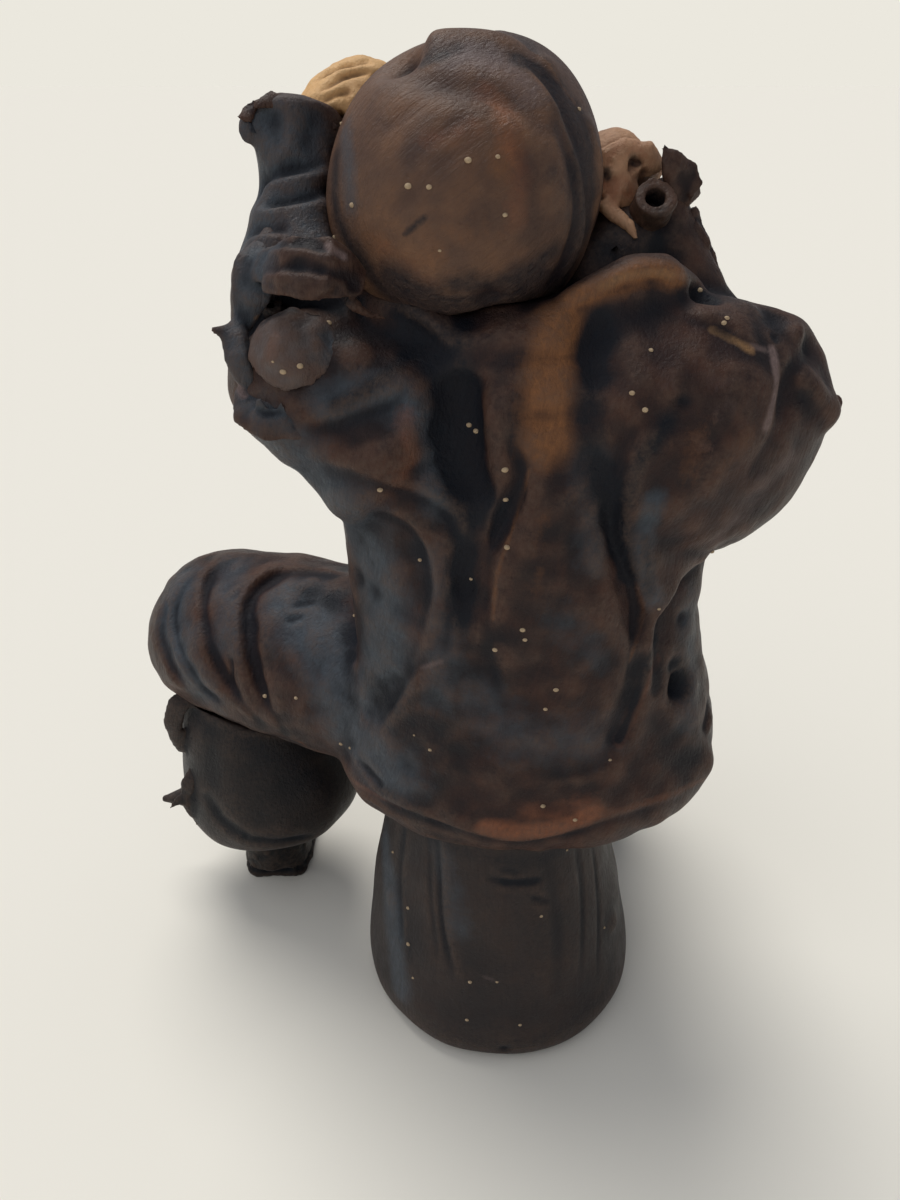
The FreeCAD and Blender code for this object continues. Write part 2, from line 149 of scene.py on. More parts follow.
def before(x, z):
    """A level line of view from in front of the figure, at a place across and up."""
    return (x, front_distance, z, 0.0, -1.0, 0.0)


def front(*places):
    """Level lines of view from in front, one for each place across and up."""
    return tuple(before(x, z) for x, z in places)


toward_eye = Vector((0, -0.87, 0.5))
strip_sides = 10


def strips(bm, table, flat=0.3):
    """Torn strips and spikes of clay. Each goes through pixels with a depth, with a width at each."""
    for points, widths in table:
        coil(bm, [spot(point[:2], point[2]) for point in points], widths, strip_sides, toward_eye, flat)
    return bm


class Clay:
    """A lump of clay on the bench. It is pressed, pulled and painted, then fired into a piece. Lengths
    are in millimetres, a stroke's reach is in widths of the stroke, and the rest are shares."""

    # Paint channels. The blue-black one is painted shade and the pale tan one painted highlight; the ochre
    # one also carries painted highlights, and the slate one painted light on lit left sides.
    paints = ("slate_and_side_light", "ochre_and_highlight", "orange", "painted_shade", "lilac", "painted_highlight")
    tuck = 1.6
    stray_tucks = 1.5
    fade_share = 0.4
    falloff = 1.6
    press_reach, push_reach, brush_reach = 3, 2, 2
    fold_reach, least_fold_reach = 4, 3
    fold_lip, fold_crest, fold_furrow = 0.4, 0.3, 1.7
    knead_steps = (17.3, 5.1, 9.7)
    knead_blend = (0.6, 2.1)
    least_step = 1e-9
    skin_slack = 1e-3
    ease = 0.7
    seam_rounds = 12
    # the relief scales, and the gains for the painted shade in the hollows and the wear on the ridges
    shade_and_wear_scales = {6: 5.0, 24: 2.2, 60: 1.0}
    hollow_gain, ridge_gain, wash_film = 0.85, 1.3, 0.05

    def __init__(self, name, bm=None, *, grain, smears, kneading):
        """A lump of a form, or of the solid that it is named after, smeared and kneaded."""
        self.name = name
        bm = gathered([name]) if bm is None else bm
        mesh = bpy.data.meshes.new(name)
        bm.to_mesh(mesh)
        bm.free()
        raw = bpy.data.objects.new(name, mesh)
        bpy.context.scene.collection.objects.link(raw)
        voxels = raw.modifiers.new("one lump", "REMESH")
        voxels.mode = "VOXEL"
        voxels.voxel_size = grain * mm
        bpy.context.view_layer.update()
        shaped = raw.evaluated_get(bpy.context.evaluated_depsgraph_get())
        self.mesh = bpy.data.meshes.new_from_object(shaped)
        bpy.data.objects.remove(raw)
        count = len(self.mesh.vertices)
        self.co = np.empty(count * 3)
        self.mesh.vertices.foreach_get("co", self.co)
        self.co = self.co.reshape(-1, 3) / mm
        edges = np.empty(len(self.mesh.edges) * 2, np.int64)
        self.mesh.edges.foreach_get("vertices", edges)
        self.pairs = edges.reshape(-1, 2)
        self.neighbours = np.maximum(np.bincount(self.pairs.ravel(), minlength=count), 1)
        self.paint = {channel: np.zeros(count) for channel in self.paints}
        self.look()
        self.smear(smears)
        self.knead(*kneading)

    def look(self):
        """Takes the shape in again: normals, and the surface that lines of view meet."""
        self.mesh.vertices.foreach_set("co", (self.co * mm).ravel())
        self.mesh.update()
        normals = np.empty(len(self.co) * 3)
        self.mesh.vertex_normals.foreach_get("vector", normals)
        self.normal = normals.reshape(-1, 3)
        self.surface = BVHTree.FromPolygons([Vector(c) for c in self.co],
                                            [tuple(p.vertices) for p in self.mesh.polygons])

    def average(self, values):
        """The mean of each point's neighbours."""
        total = np.empty_like(values)
        first, second = self.pairs[:, 0], self.pairs[:, 1]
        for axis in range(values.shape[1]):
            column = values[:, axis]
            total[:, axis] = (np.bincount(first, column[second], len(values))
                              + np.bincount(second, column[first], len(values)))
        return total / self.neighbours[:, None]

    def smear(self, times, strength=0.6):
        """Smooths the whole lump with a wet finger."""
        for _ in range(times):
            self.co += strength * (self.average(self.co) - self.co)
        self.look()

    def meet(self, point):
        """Where a pixel, or a point and a direction, meets the clay."""
        if len(point) == 2:
            origin, direction = camera_place / mm, sight(point)
        else:
            origin, direction = Vector(point[:3]), Vector(point[3:]).normalized()
        place, normal, _, _ = self.surface.ray_cast(origin, direction)
        return (None, None) if place is None else (np.array(place), np.array(normal))

    def trace(self, points):
        """A line on the clay through pixels, with the normals there."""
        hits = [self.meet(point) for point in smooth_line(points)]
        hits = [hit for hit in hits if hit[0] is not None]
        return [hit[0] for hit in hits], [hit[1] for hit in hits]

    def near(self, line, normals, reach):
        """Signed distance to a line, and the place along it, for the points within reach."""
        line, normals = np.array(line), np.array(normals)
        low, high = line.min(0) - reach, line.max(0) + reach
        chosen = np.where(((self.co > low) & (self.co < high)).all(1))[0]
        best = np.full(len(chosen), np.inf)
        side = np.zeros(len(chosen))
        along = np.zeros(len(chosen))
        spots = self.co[chosen]
        count = max(len(line) - 1, 1)
        for index in range(count):
            start = line[index]
            step = line[min(index + 1, len(line) - 1)] - start
            length = max(step @ step, self.least_step)
            share = np.clip((spots - start) @ step / length, 0, 1)
            away = spots - (start + share[:, None] * step)
            distance = np.sqrt((away ** 2).sum(1))
            closer = distance < best
            right = np.cross(step / math.sqrt(length), normals[index])
            best = np.where(closer, distance, best)
            side = np.where(closer, away @ right, side)
            along = np.where(closer, (index + share) / count, along)
        inside = best < reach
        return chosen[inside], best[inside], side[inside], along[inside]

    def lift(self, chosen, height, along):
        """Moves points out by a height, less towards both ends of the stroke that they belong to."""
        ends = np.clip(np.minimum(along, 1 - along) / self.fade_share, 0, 1)
        self.co[chosen] += self.normal[chosen] * (height * (ends * (2 - ends)))[:, None]

    def work(self, points, width, depth):
        """Presses a line into the clay, or pulls it up where depth is negative."""
        line, normals = self.trace(points)
        if len(line) < 2:
            return
        chosen, distance, _, along = self.near(line, normals, width * self.press_reach)
        self.lift(chosen, -depth * np.exp(-(distance / width) ** 2 * self.falloff), along)

    def fold(self, points, width, height, depth):
        """Lays one side of a line over the other: the side on its right rises, the left one sinks."""
        line, normals = self.trace(points)
        if len(line) < 2:
            return
        reach = width * self.fold_reach
        chosen, distance, side, along = self.near(line, normals, max(reach, self.least_fold_reach))
        over = 0.5 + 0.5 * np.tanh(side / self.fold_lip)
        crest = np.exp(-np.maximum(distance - self.fold_crest, 0) / (width * self.falloff))
        furrow = np.exp(-(distance / (width * self.fold_furrow)) ** 2)
        edge = np.clip((reach - distance) / (reach / 2), 0, 1)
        self.lift(chosen, (over * height * crest - (1 - over) * depth * furrow) * edge, along)

    def push(self, point, radius, depth):
        """Dents the clay round one spot, or swells it where depth is negative."""
        place, _ = self.meet(point)
        if place is None:
            return
        away = np.sqrt(((self.co - place) ** 2).sum(1))
        chosen = np.where(away < radius * self.push_reach)[0]
        height = -depth * np.exp(-(away[chosen] / radius) ** 2 * self.falloff)
        self.co[chosen] += self.normal[chosen] * height[:, None]

    def shape(self, presses=(), folds=(), pushes=()):
        """Works a table of strokes: presses, then folds, then pushes."""
        for points, width, depth in presses:
            self.work(points, width, depth)
        for points, width, height, depth in folds:
            self.fold(points, width, height, depth)
        for point, radius, depth in pushes:
            self.push(point, radius, depth)
        self.smear(1, 0.5)

    def colour(self, table):
        """Paints the strokes that a table gives for each colour."""
        for channel, strokes in table.items():
            for points, width, strength in strokes:
                self.brush(channel, points, width, strength)

    def knead(self, size, height, seed, octaves=3):
        """Small unevenness of clay that hands have shaped."""
        shift = Vector([seed * step for step in self.knead_steps])
        swell = np.array([noise.fractal(Vector(c) / size + shift, *self.knead_blend, octaves)
                          for c in self.co])
        self.co += self.normal * (swell * height)[:, None]

    def brush(self, channel, points, width, strength):
        """Paints a stroke of one colour along a line of pixels."""
        line, normals = self.trace(points)
        if not line:
            return
        chosen, distance, _, _ = self.near(line, normals, width * self.brush_reach)
        value = strength * np.exp(-(distance / width) ** 2 * self.falloff)
        self.paint[channel][chosen] = np.maximum(self.paint[channel][chosen], value)

    def shade_hollows_and_wear_ridges(self):
        """Painted shade that darkens the hollows, and wear where the wash is rubbed off the ridges, at three
        scales.
        """
        shape = self.co.copy()
        relief = 0
        for count in range(1, max(self.shade_and_wear_scales) + 1):
            shape += self.ease * (self.average(shape) - shape)
            if count in self.shade_and_wear_scales:
                relief = relief + ((self.co - shape) * self.normal).sum(1) * self.shade_and_wear_scales[count]
        # painted shade in the hollows, and wear on the ridges
        self.hollow = np.clip(-relief * self.hollow_gain - self.wash_film, 0, 1)
        self.ridge = np.clip(relief * self.ridge_gain - self.wash_film, 0, 1)

    def fire(self, material, parting=None):
        """Finishes the lump: one piece, or one for each node of a parting, split along the seams."""
        self.shade_hollows_and_wear_ridges()
        self.look()
        for channel, values in dict(self.paint, hollow=self.hollow, ridge=self.ridge).items():
            layer = self.mesh.attributes.new(channel, "FLOAT", "POINT")
            layer.data.foreach_set("value", np.clip(values, 0, 1).astype(np.float32))
        self.mesh.polygons.foreach_set("use_smooth", [True] * len(self.mesh.polygons))
        self.mesh.materials.clear()
        self.mesh.materials.append(material)
        if not parting:
            return [self.placed(self.name, self.mesh)]
        trees = []
        for node in parting:
            data = frame["nodes"][node].data
            trees.append(BVHTree.FromPolygons([v.co / mm for v in data.vertices],
                                              [tuple(p.vertices) for p in data.polygons]))
        away = np.array([[tree.find_nearest(Vector(c))[3] for tree in trees] for c in self.co])
        for _ in range(self.seam_rounds):
            away += self.ease * (self.average(away) - away)
        owners = [int(np.argmin(away[list(p.vertices)].sum(0))) for p in self.mesh.polygons]
        return [self.parted(node, [k for k, owner in enumerate(owners) if owner != index])
                for index, node in enumerate(parting)]

    def parted(self, name, others):
        """One piece of the lump, its cut closed inside, shaded as the whole lump was."""
        whole = self.mesh.copy()
        bm = bmesh.new()
        bm.from_mesh(whole)
        mark = bm.verts.layers.int.new("mark")
        for vert in bm.verts:
            vert[mark] = vert.index
        bm.faces.ensure_lookup_table()
        bmesh.ops.delete(bm, geom=[bm.faces[k] for k in others], context="FACES")
        bmesh.ops.solidify(bm, geom=bm.faces[:], thickness=self.tuck * mm)
        marks, facing = [], []
        for vert in bm.verts:
            point = vert[mark]
            outside, normal = Vector(self.co[point]), Vector(self.normal[point])
            away = (vert.co / mm - outside).length
            if away > self.stray_tucks * self.tuck:
                vert.co = (outside - normal * self.tuck) * mm
            marks.append(point)
            facing.append(1 if away < self.skin_slack else -1)
        bm.to_mesh(whole)
        bm.free()
        whole.normals_split_custom_set_from_vertices(
            [Vector(self.normal[k]) * way for k, way in zip(marks, facing)])
        whole.attributes.remove(whole.attributes["mark"])
        return self.placed(name, whole)

    def placed(self, name, mesh):
        """Stands a finished mesh in the scene as a piece of the figure."""
        piece = bpy.data.objects.new(name + "_clay", mesh)
        bpy.context.scene.collection.objects.link(piece)
        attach(piece, "root")
        return piece


class Wash:
    """A value in the paint recipe: a socket with ordinary arithmetic."""

    def __init__(self, recipe, socket):
        self.recipe, self.socket = recipe, socket

    def maths(self, how, *values):
        """One Math node on these values."""
        return self.recipe.step("ShaderNodeMath", {"operation": how}, dict(enumerate(values)))

    def __add__(self, other):
        return self.maths("ADD", self, other)

    def __sub__(self, other):
        return self.maths("SUBTRACT", self, other)

    def __rsub__(self, other):
        return self.maths("SUBTRACT", other, self)

    def __mul__(self, other):
        return self.maths("MULTIPLY", self, other)

    def held(self):
        """Kept between nolamp and one."""
        return self.maths("MINIMUM", self.maths("MAXIMUM", self, 0.0), 1.0)

    def ramp(self, low, high):
        """Rises from nolamp at low to one at high."""
        return ((self - low) * (1.0 / (high - low))).held()

    __radd__ = __add__
    __rmul__ = __mul__


class Recipe:
    """A paint and surface recipe, written from the clay outwards."""

    shine = 0.17

    def __init__(self, name):
        self.material = bpy.data.materials.new(name)
        self.material.use_nodes = True
        self.tree = self.material.node_tree
        self.shader = self.tree.nodes["Principled BSDF"]
        self.places = self.step("ShaderNodeTexCoord", {}, {}, "Object")

    def step(self, kind, settings, sockets, output=0):
        """One node: its type, its settings, and the values or links of its sockets."""
        node = self.tree.nodes.new(kind)
        for key, value in settings.items():
            setattr(node, key, value)
        for key, value in sockets.items():
            if isinstance(value, Wash):
                self.tree.links.new(value.socket, node.inputs[key])
            else:
                node.inputs[key].default_value = value
        return Wash(self, node.outputs[output])

    def painted(self, channel):
        """What was brushed on, or settled, under one name."""
        return self.step("ShaderNodeAttribute", {"attribute_name": channel}, {}, "Fac")

    def grain(self, size, detail=4.0, stretch=(1, 1, 1), turn=(0, 0, 0), rough=0.55, wander=0.0):
        """Soft mottling of a size in millimetres, drawn out along a direction where stretch says so."""
        scale = [share * size * mm for share in stretch]
        spots = self.step("ShaderNodeMapping", {"vector_type": "TEXTURE"},
                          {"Vector": self.places, "Rotation": turn, "Scale": scale})
        return self.step("ShaderNodeTexNoise", {}, {"Vector": spots, "Scale": 1.0, "Detail": detail,
                                                    "Roughness": rough, "Distortion": wander})

    def dots(self, size, seed):
        """Distance to the nearest of scattered points, in shares of their spacing."""
        spots = self.step("ShaderNodeMapping", {}, {"Vector": self.places, "Location": (seed, seed, seed),
                                                    "Scale": [1.0 / (size * mm)] * 3})
        return self.step("ShaderNodeTexVoronoi", {}, {"Vector": spots, "Scale": 1.0}, "Distance")

    def mix(self, share, first, second):
        """Two colours mixed. The numbers are the sockets of the colour mix among those of all its kinds."""
        first, second = (paint if isinstance(paint, Wash) else (*paint, 1.0) for paint in (first, second))
        return self.step("ShaderNodeMix", {"data_type": "RGBA"}, {0: share, 6: first, 7: second}, 2)

    def bump(self, height, distance, strength, under=None):
        """Fine relief of a depth in millimetres, on top of another where one is given."""
        sockets = {"Height": height, "Distance": distance * mm, "Strength": strength}
        if under:
            sockets["Normal"] = under
        return self.step("ShaderNodeBump", {}, sockets)

    def finish(self, colour, roughness, normal):
        """Joins the recipe to the shader. Waxed clay has a weak shine."""
        for key, value in (("Base Color", colour), ("Roughness", roughness), ("Normal", normal)):
            self.tree.links.new(value.socket, self.shader.inputs[key])
        self.shader.inputs["Specular IOR Level"].default_value = self.shine
        return self.material


def set_in_place(pieces):
    """Fired pieces take the places of the solids they are named after."""
    for piece in pieces:
        node = piece.name.removesuffix("_clay")
        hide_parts(node)
    return pieces


umber = (0.046, 0.021, 0.0155)
deep_umber = (0.012, 0.0095, 0.0115)
warm_umber = (0.095, 0.038, 0.022)
# blue-black painted shade for holes, creases, hollows and undersides
shade_blue_black = (0.0035, 0.0065, 0.012)
# ochre paint, also laid as painted highlight on the lit crests of folds, the shoulder and the neck
ochre_and_highlight_tint = (0.25, 0.105, 0.040)
orange_rub = (0.26, 0.095, 0.045)
lilac_smear = (0.24, 0.17, 0.16)
# blue-grey paint, also laid as painted light on the lit left sides of the coat and stump
slate_and_side_light_tint = (0.062, 0.078, 0.096)
# pale tan painted highlight, for lit crests and edges
highlight_tan = (0.42, 0.235, 0.105)
paint_layers = (("slate_and_side_light", slate_and_side_light_tint, 0.9), ("ochre_and_highlight", ochre_and_highlight_tint, 0.95), ("orange", orange_rub, 0.9),
                ("lilac", lilac_smear, 0.85), ("painted_highlight", highlight_tan, 1.0))


def fired_clay(name, body=umber, dark=deep_umber, warm=warm_umber, streak=(1.0, 1.0, 5.0),
               turn=(0.1, 0.25, 0.0), shine=0.46, rub=(0.13, 0.085, 0.062)):
    """Dark clay: a brown body, blue-black painted shade in the hollows, painted highlights, rubbed lighter on
    the ridges where worn. A ramp has the values at which it starts and ends, and the other numbers are shares
    of what is mixed."""
    recipe = Recipe(name)
    broad = recipe.grain(16.0, 3.0)
    fine = recipe.grain(3.2, 6.0)
    strokes = recipe.grain(0.5, 3.0, streak, turn, 0.65, 0.4)
    ragged = (recipe.grain(2.6, 6.0, rough=0.65) - 0.5) * 1.5 + (strokes - 0.5) * 0.6
    hollow, ridge = recipe.painted("hollow"), recipe.painted("ridge")

    def patch(channel):
        """One colour where it was brushed on, its edge broken by the grain."""
        laid = recipe.painted(channel)
        return (laid * 1.7 - 0.35 + ragged * 0.8).held() * laid.ramp(0.02, 0.2)

    colour = recipe.mix(broad.ramp(0.38, 0.66), dark, body)
    colour = recipe.mix((fine.ramp(0.45, 0.75) * broad.ramp(0.35, 0.6) * 0.75).held(), colour, warm)
    colour = recipe.mix((ridge * 0.55 * fine.ramp(0.3, 0.6)).held(), colour, warm)
    # each paint in turn, including the painted light in the slate and the painted highlights in the ochre and
    # the pale tan
    for channel, paint, most in paint_layers:
        colour = recipe.mix(patch(channel) * most, colour, paint)
    # painted shade: blue-black where it was brushed on and in the hollows
    colour = recipe.mix((patch("painted_shade") + hollow * 0.8).held() * 0.95, colour, shade_blue_black)
    speckle = recipe.grain(0.8, 5.0, rough=0.7)
    streaks = ((strokes - 0.5) * 1.1 + (fine - 0.5) * 0.5 + (speckle - 0.5) * 1.0 + 0.5).held()
    colour = recipe.mix(streaks * 0.62, colour, dark)
    rubbed = (ridge * 1.2 * speckle.ramp(0.3, 0.75)).held()
    colour = recipe.mix(rubbed * 0.38, colour, rub)
    roughness = (shine + (fine - 0.5) * 0.30 + (strokes - 0.5) * 0.3 + hollow * 0.18).held()
    shallow = recipe.bump(strokes, 0.22, 0.8)
    uneven = recipe.bump(speckle, 0.30, 0.6, shallow)
    pitted = recipe.bump(recipe.dots(1.7, 0.7).ramp(0.05, 0.18), 0.12, 0.5, uneven)
    return recipe.finish(colour, roughness, pitted)


coat_paint = fired_clay("coat_paint")
coat_nodes = ["coat", "collar", "left_upper_sleeve", "left_fore_sleeve", "right_upper_sleeve",
              "right_fore_sleeve", "left_thigh", "right_thigh", "shirt_front"]
coat_form = gathered(coat_nodes)
neck_roll = ((366, 300, -4), (394, 312, -7), (430, 330, -10), (475, 345, -12))
coil(coat_form, [spot((x, y), depth) for x, y, depth in neck_roll], (5.0, 6.5, 6.0, 4.0))
shoulder_pellets = (((620, 258), 3, (10.0, 9.0, 13.0)), ((586, 284), 1, (9.0, 9.0, 12.0)),
                    ((598, 212), 7, (7.0, 7.0, 9.0)), ((648, 232), 6, (8.0, 8.0, 10.0)))
for pixel, depth, widths in shoulder_pellets:
    pellet(coat_form, spot(pixel, depth), widths)
wrist_rim = (
    (((246, 150, 3), (243, 131, 3), (250, 112, 5), (256, 98, 6)), (2.0, 3.4, 3.0, 0.8)),
    (((252, 106, 5), (275, 102, 5), (298, 104, 5), (320, 114, 6), (338, 130, 6)), (2.0, 3.4, 4.0, 3.6, 1.6)),
    (((268, 106, 5), (270, 96, 6)), (2.4, 0.8)),
    (((300, 106, 5), (306, 99, 6)), (2.4, 0.8)),
)
strips(coat_form, wrist_rim)
clothes = Clay("clothes", coat_form, grain=0.465, smears=22, kneading=(12.0, 0.7, 1, 3))

# the back: a deep hollow left of the spine, the spine, and the furrow in front of the right sleeve
back_presses = (
    (((448, 345), (452, 390), (458, 440), (470, 500)), 5.2, 0.9),
    (((489, 385), (499, 440), (505, 500)), 2.6, -1.3),
    (((590, 300), (596, 340), (588, 390)), 4.0, 0.9),
    (((560, 480), (575, 560), (580, 640)), 7.0, -0.7),
    (((545, 360), (549, 410)), 6.0, -0.6),
    (((640, 650), (630, 700), (610, 745)), 3.0, 0.5),
    (((655, 700), (668, 745), (690, 775)), 3.4, 0.6),
    (((700, 560), (680, 600), (672, 650)), 2.4, 0.9),
)
back_folds = (
    (((491, 640), (490, 600), (496, 556), (512, 524), (524, 496), (527, 462), (512, 425)), 1.5, 0.8, 0.7),
    (((642, 640), (639, 599), (629, 569), (619, 539), (621, 509), (628, 468), (640, 438), (668, 420)),
     2.0, 1.0, 0.9),
    (((600, 500), (612, 545), (628, 590), (630, 640), (622, 700)), 1.6, 0.6, 0.4),
    (((720, 540), (692, 574), (668, 606), (657, 636), (654, 673), (650, 700)), 1.8, 0.9, 1.6),
    (((706, 735), (712, 692), (703, 645)), 1.2, 0.7, 0.8),
    (((505, 700), (498, 670), (492, 640)), 1.2, 0.3, 0.4),
    (((540, 780), (585, 775), (640, 755)), 2.0, 0.3, 0.3),
)
back_pushes = (
    ((681, 688), 2.2, 3.4),
    ((678, 668), 1.4, 1.6),
    ((687, 620), 1.2, 1.4),
    ((704, 762), 4.0, -1.6),
    ((463, 590), 1.3, 0.9),
)
clothes.shape(back_presses, back_folds, back_pushes)

# the left flank and shoulder: swirls of a finger drawn up towards the sleeve
flank_presses = (
    (((405, 540), (414, 580), (405, 625)), 3.0, 0.9),
    (((452, 545), (458, 600), (450, 650)), 2.6, 0.7),
    (((395, 668), (380, 698), (360, 722)), 2.6, 0.8),
    (((330, 445), (362, 436), (395, 418), (420, 392)), 3.0, 0.9),
    (((318, 482), (365, 480), (412, 465)), 2.4, 0.5),
)
flank_folds = (
    (((463, 545), (452, 515), (425, 495), (385, 485), (350, 480)), 1.5, 0.8, 0.7),
    (((409, 670), (425, 630), (432, 585), (424, 545), (404, 520), (368, 508)), 1.5, 0.9, 0.8),
    (((450, 660), (452, 620), (448, 580)), 1.4, 0.4, 0.4),
    (((375, 736), (395, 705), (412, 678), (440, 655)), 1.3, 0.6, 0.6),
    (((452, 352), (434, 334), (410, 316), (388, 300)), 1.4, 0.8, 0.8),
    (((410, 372), (392, 392), (366, 404), (330, 420), (300, 424)), 1.5, 0.8, 0.8),
    (((440, 450), (400, 470), (350, 470), (310, 458)), 1.4, 0.4, 0.4),
)
flank_pushes = (
    ((357, 580), 1.8, 1.0),
    ((375, 595), 2.0, 0.5),
)
clothes.shape(flank_presses, flank_folds, flank_pushes)

# the right sleeve: a broad swell with shallow drapes, a torn patch and pin holes
right_sleeve_presses = (
    (((716, 350), (745, 390), (740, 440), (700, 490)), 4.0, -0.6),
    (((690, 380), (668, 430), (655, 490), (650, 540)), 3.4, 0.5),
    (((830, 412), (815, 395), (800, 372)), 2.6, -1.0),
    (((808, 330), (806, 352)), 1.6, 0.7),
)
right_sleeve_folds = (
    (((752, 352), (727, 326), (700, 318), (686, 314)), 1.2, 0.5, 0.6),
    (((692, 289), (660, 275), (627, 278), (589, 295), (560, 306)), 1.4, 0.5, 0.9),
    (((795, 350), (780, 380), (770, 430), (745, 470)), 1.4, 0.4, 0.4),
    (((824, 432), (812, 400), (790, 380)), 1.2, 0.5, 0.4),
)
right_sleeve_pushes = (
    ((799, 334), 2.2, -1.3),
    ((813, 350), 2.6, 0.9),
    ((775, 316), 3.0, 0.8),
    ((826, 412), 3.0, -1.6),
    ((700, 294), 1.5, 2.2),
    ((712, 300), 1.0, 1.2),
    ((686, 402), 0.8, 1.0),
    ((776, 337), 0.7, 0.8),
)
clothes.shape(right_sleeve_presses, right_sleeve_folds, right_sleeve_pushes)

# the left sleeve: the cloth goes round the forearm in overlapping turns, and is torn open at the elbow
left_sleeve_presses = (
    (((236, 345), (240, 318), (262, 300), (300, 292), (350, 306)), 2.2, 4.2),
    (((318, 105), (312, 130), (300, 150)), 1.6, 0.7),
    (((275, 104), (274, 130), (280, 152)), 1.8, 0.6),
)
left_sleeve_folds = (
    (((240, 198), (262, 183), (298, 174), (332, 166)), 1.4, 1.0, 1.2),
    (((230, 236), (248, 214), (284, 208), (334, 198)), 1.4, 1.2, 1.1),
    (((220, 280), (236, 248), (264, 236), (290, 236)), 1.4, 1.2, 0.9),
)
left_sleeve_pushes = (
    ((356, 360), 4.0, -1.2),
    ((224, 278), 2.8, -1.2),
    ((257, 186), 2.2, 1.5),
    ((262, 205), 1.8, -0.6),
)
clothes.shape(left_sleeve_presses, left_sleeve_folds, left_sleeve_pushes)

# the left thigh: wrapped folds run over the knee, and the coat is smeared onto it
left_thigh_presses = (
    (((300, 590), (332, 600), (350, 628), (352, 665)), 4.0, 1.2),
    (((229, 602), (243, 590)), 0.8, 0.5),
    (((289, 607), (310, 600), (332, 598)), 0.9, 0.7),
    (((285, 622), (305, 614)), 0.8, 0.5),
    (((232, 655), (231, 688)), 0.7, 0.8),
    (((356, 760), (370, 774), (384, 790)), 1.2, 0.7),
)
left_thigh_folds = (
    (((352, 576), (294, 570), (265, 578), (246, 600), (243, 630), (250, 668), (268, 708), (290, 742)),
     1.7, 0.9, 0.8),
    (((240, 556), (214, 566), (202, 592), (202, 628), (213, 662), (238, 700), (262, 726)), 1.4, 0.7, 0.6),
    (((196, 572), (180, 590), (172, 620), (180, 656), (202, 688), (228, 708)), 1.3, 0.6, 0.5),
    (((168, 600), (160, 630), (170, 668), (190, 694)), 1.1, 0.4, 0.4),
    (((382, 808), (356, 792), (322, 771), (286, 749), (255, 727), (217, 712), (176, 698)), 1.2, 0.7, 0.2),
)
clothes.shape(left_thigh_presses, left_thigh_folds)

# the hem: its edge is rolled under and stands on the stump
hem_presses = (
    (((420, 780), (470, 800), (519, 812), (580, 805)), 4.0, 0.5),
)
hem_folds = (
    (((710, 778), (668, 800), (609, 819), (564, 834), (519, 842), (482, 836), (430, 818), (385, 799),
      (362, 774), (342, 742)), 1.1, 0.4, 0.5),
)
clothes.shape(hem_presses, hem_folds)

# the front, which the photograph doesn't show: plain folds like those of the back
front_presses = (
    (front((-4, 108), (-3, 96), (-5, 84)), 2.6, 0.6),
    (front((4, 100), (6, 88), (4, 76)), 2.4, 0.5),
    (front((-8, 76), (1, 72), (10, 76)), 2.0, 0.7),
    (front((-7, 68), (1, 65), (9, 68)), 1.8, 0.6),
    (front((-24, 100), (-22, 112), (-24, 122)), 2.4, 0.6),
    (front((24, 100), (22, 108), (20, 116)), 2.2, 0.6),
    (front((6, 50), (14, 47), (22, 50)), 2.0, 0.6),
    (front((-56, 50), (-48, 47), (-40, 50)), 2.0, 0.6),
)
front_folds = (
    (front((-12, 54), (-13, 72), (-12, 90), (-8, 106)), 1.8, 1.3, 1.0),
    (front((6, 106), (14, 90), (16, 78), (16, 69)), 1.8, 1.3, 1.0),
    (front((-60, 64), (-52, 69), (-42, 68), (-34, 62)), 1.6, 0.8, 0.6),
    (front((-62, 56), (-52, 60), (-40, 59), (-32, 54)), 1.6, 0.7, 0.6),
    (front((1, 66), (10, 70), (20, 69), (27, 63)), 1.6, 0.8, 0.6),
    (front((0, 57), (10, 61), (20, 60), (28, 55)), 1.6, 0.7, 0.6),
    (front((-33, 108), (-27, 104), (-20, 106)), 1.4, 0.8, 0.7),
    (front((34, 112), (28, 106), (20, 104)), 1.4, 0.8, 0.7),
)
clothes.shape(front_presses, front_folds)
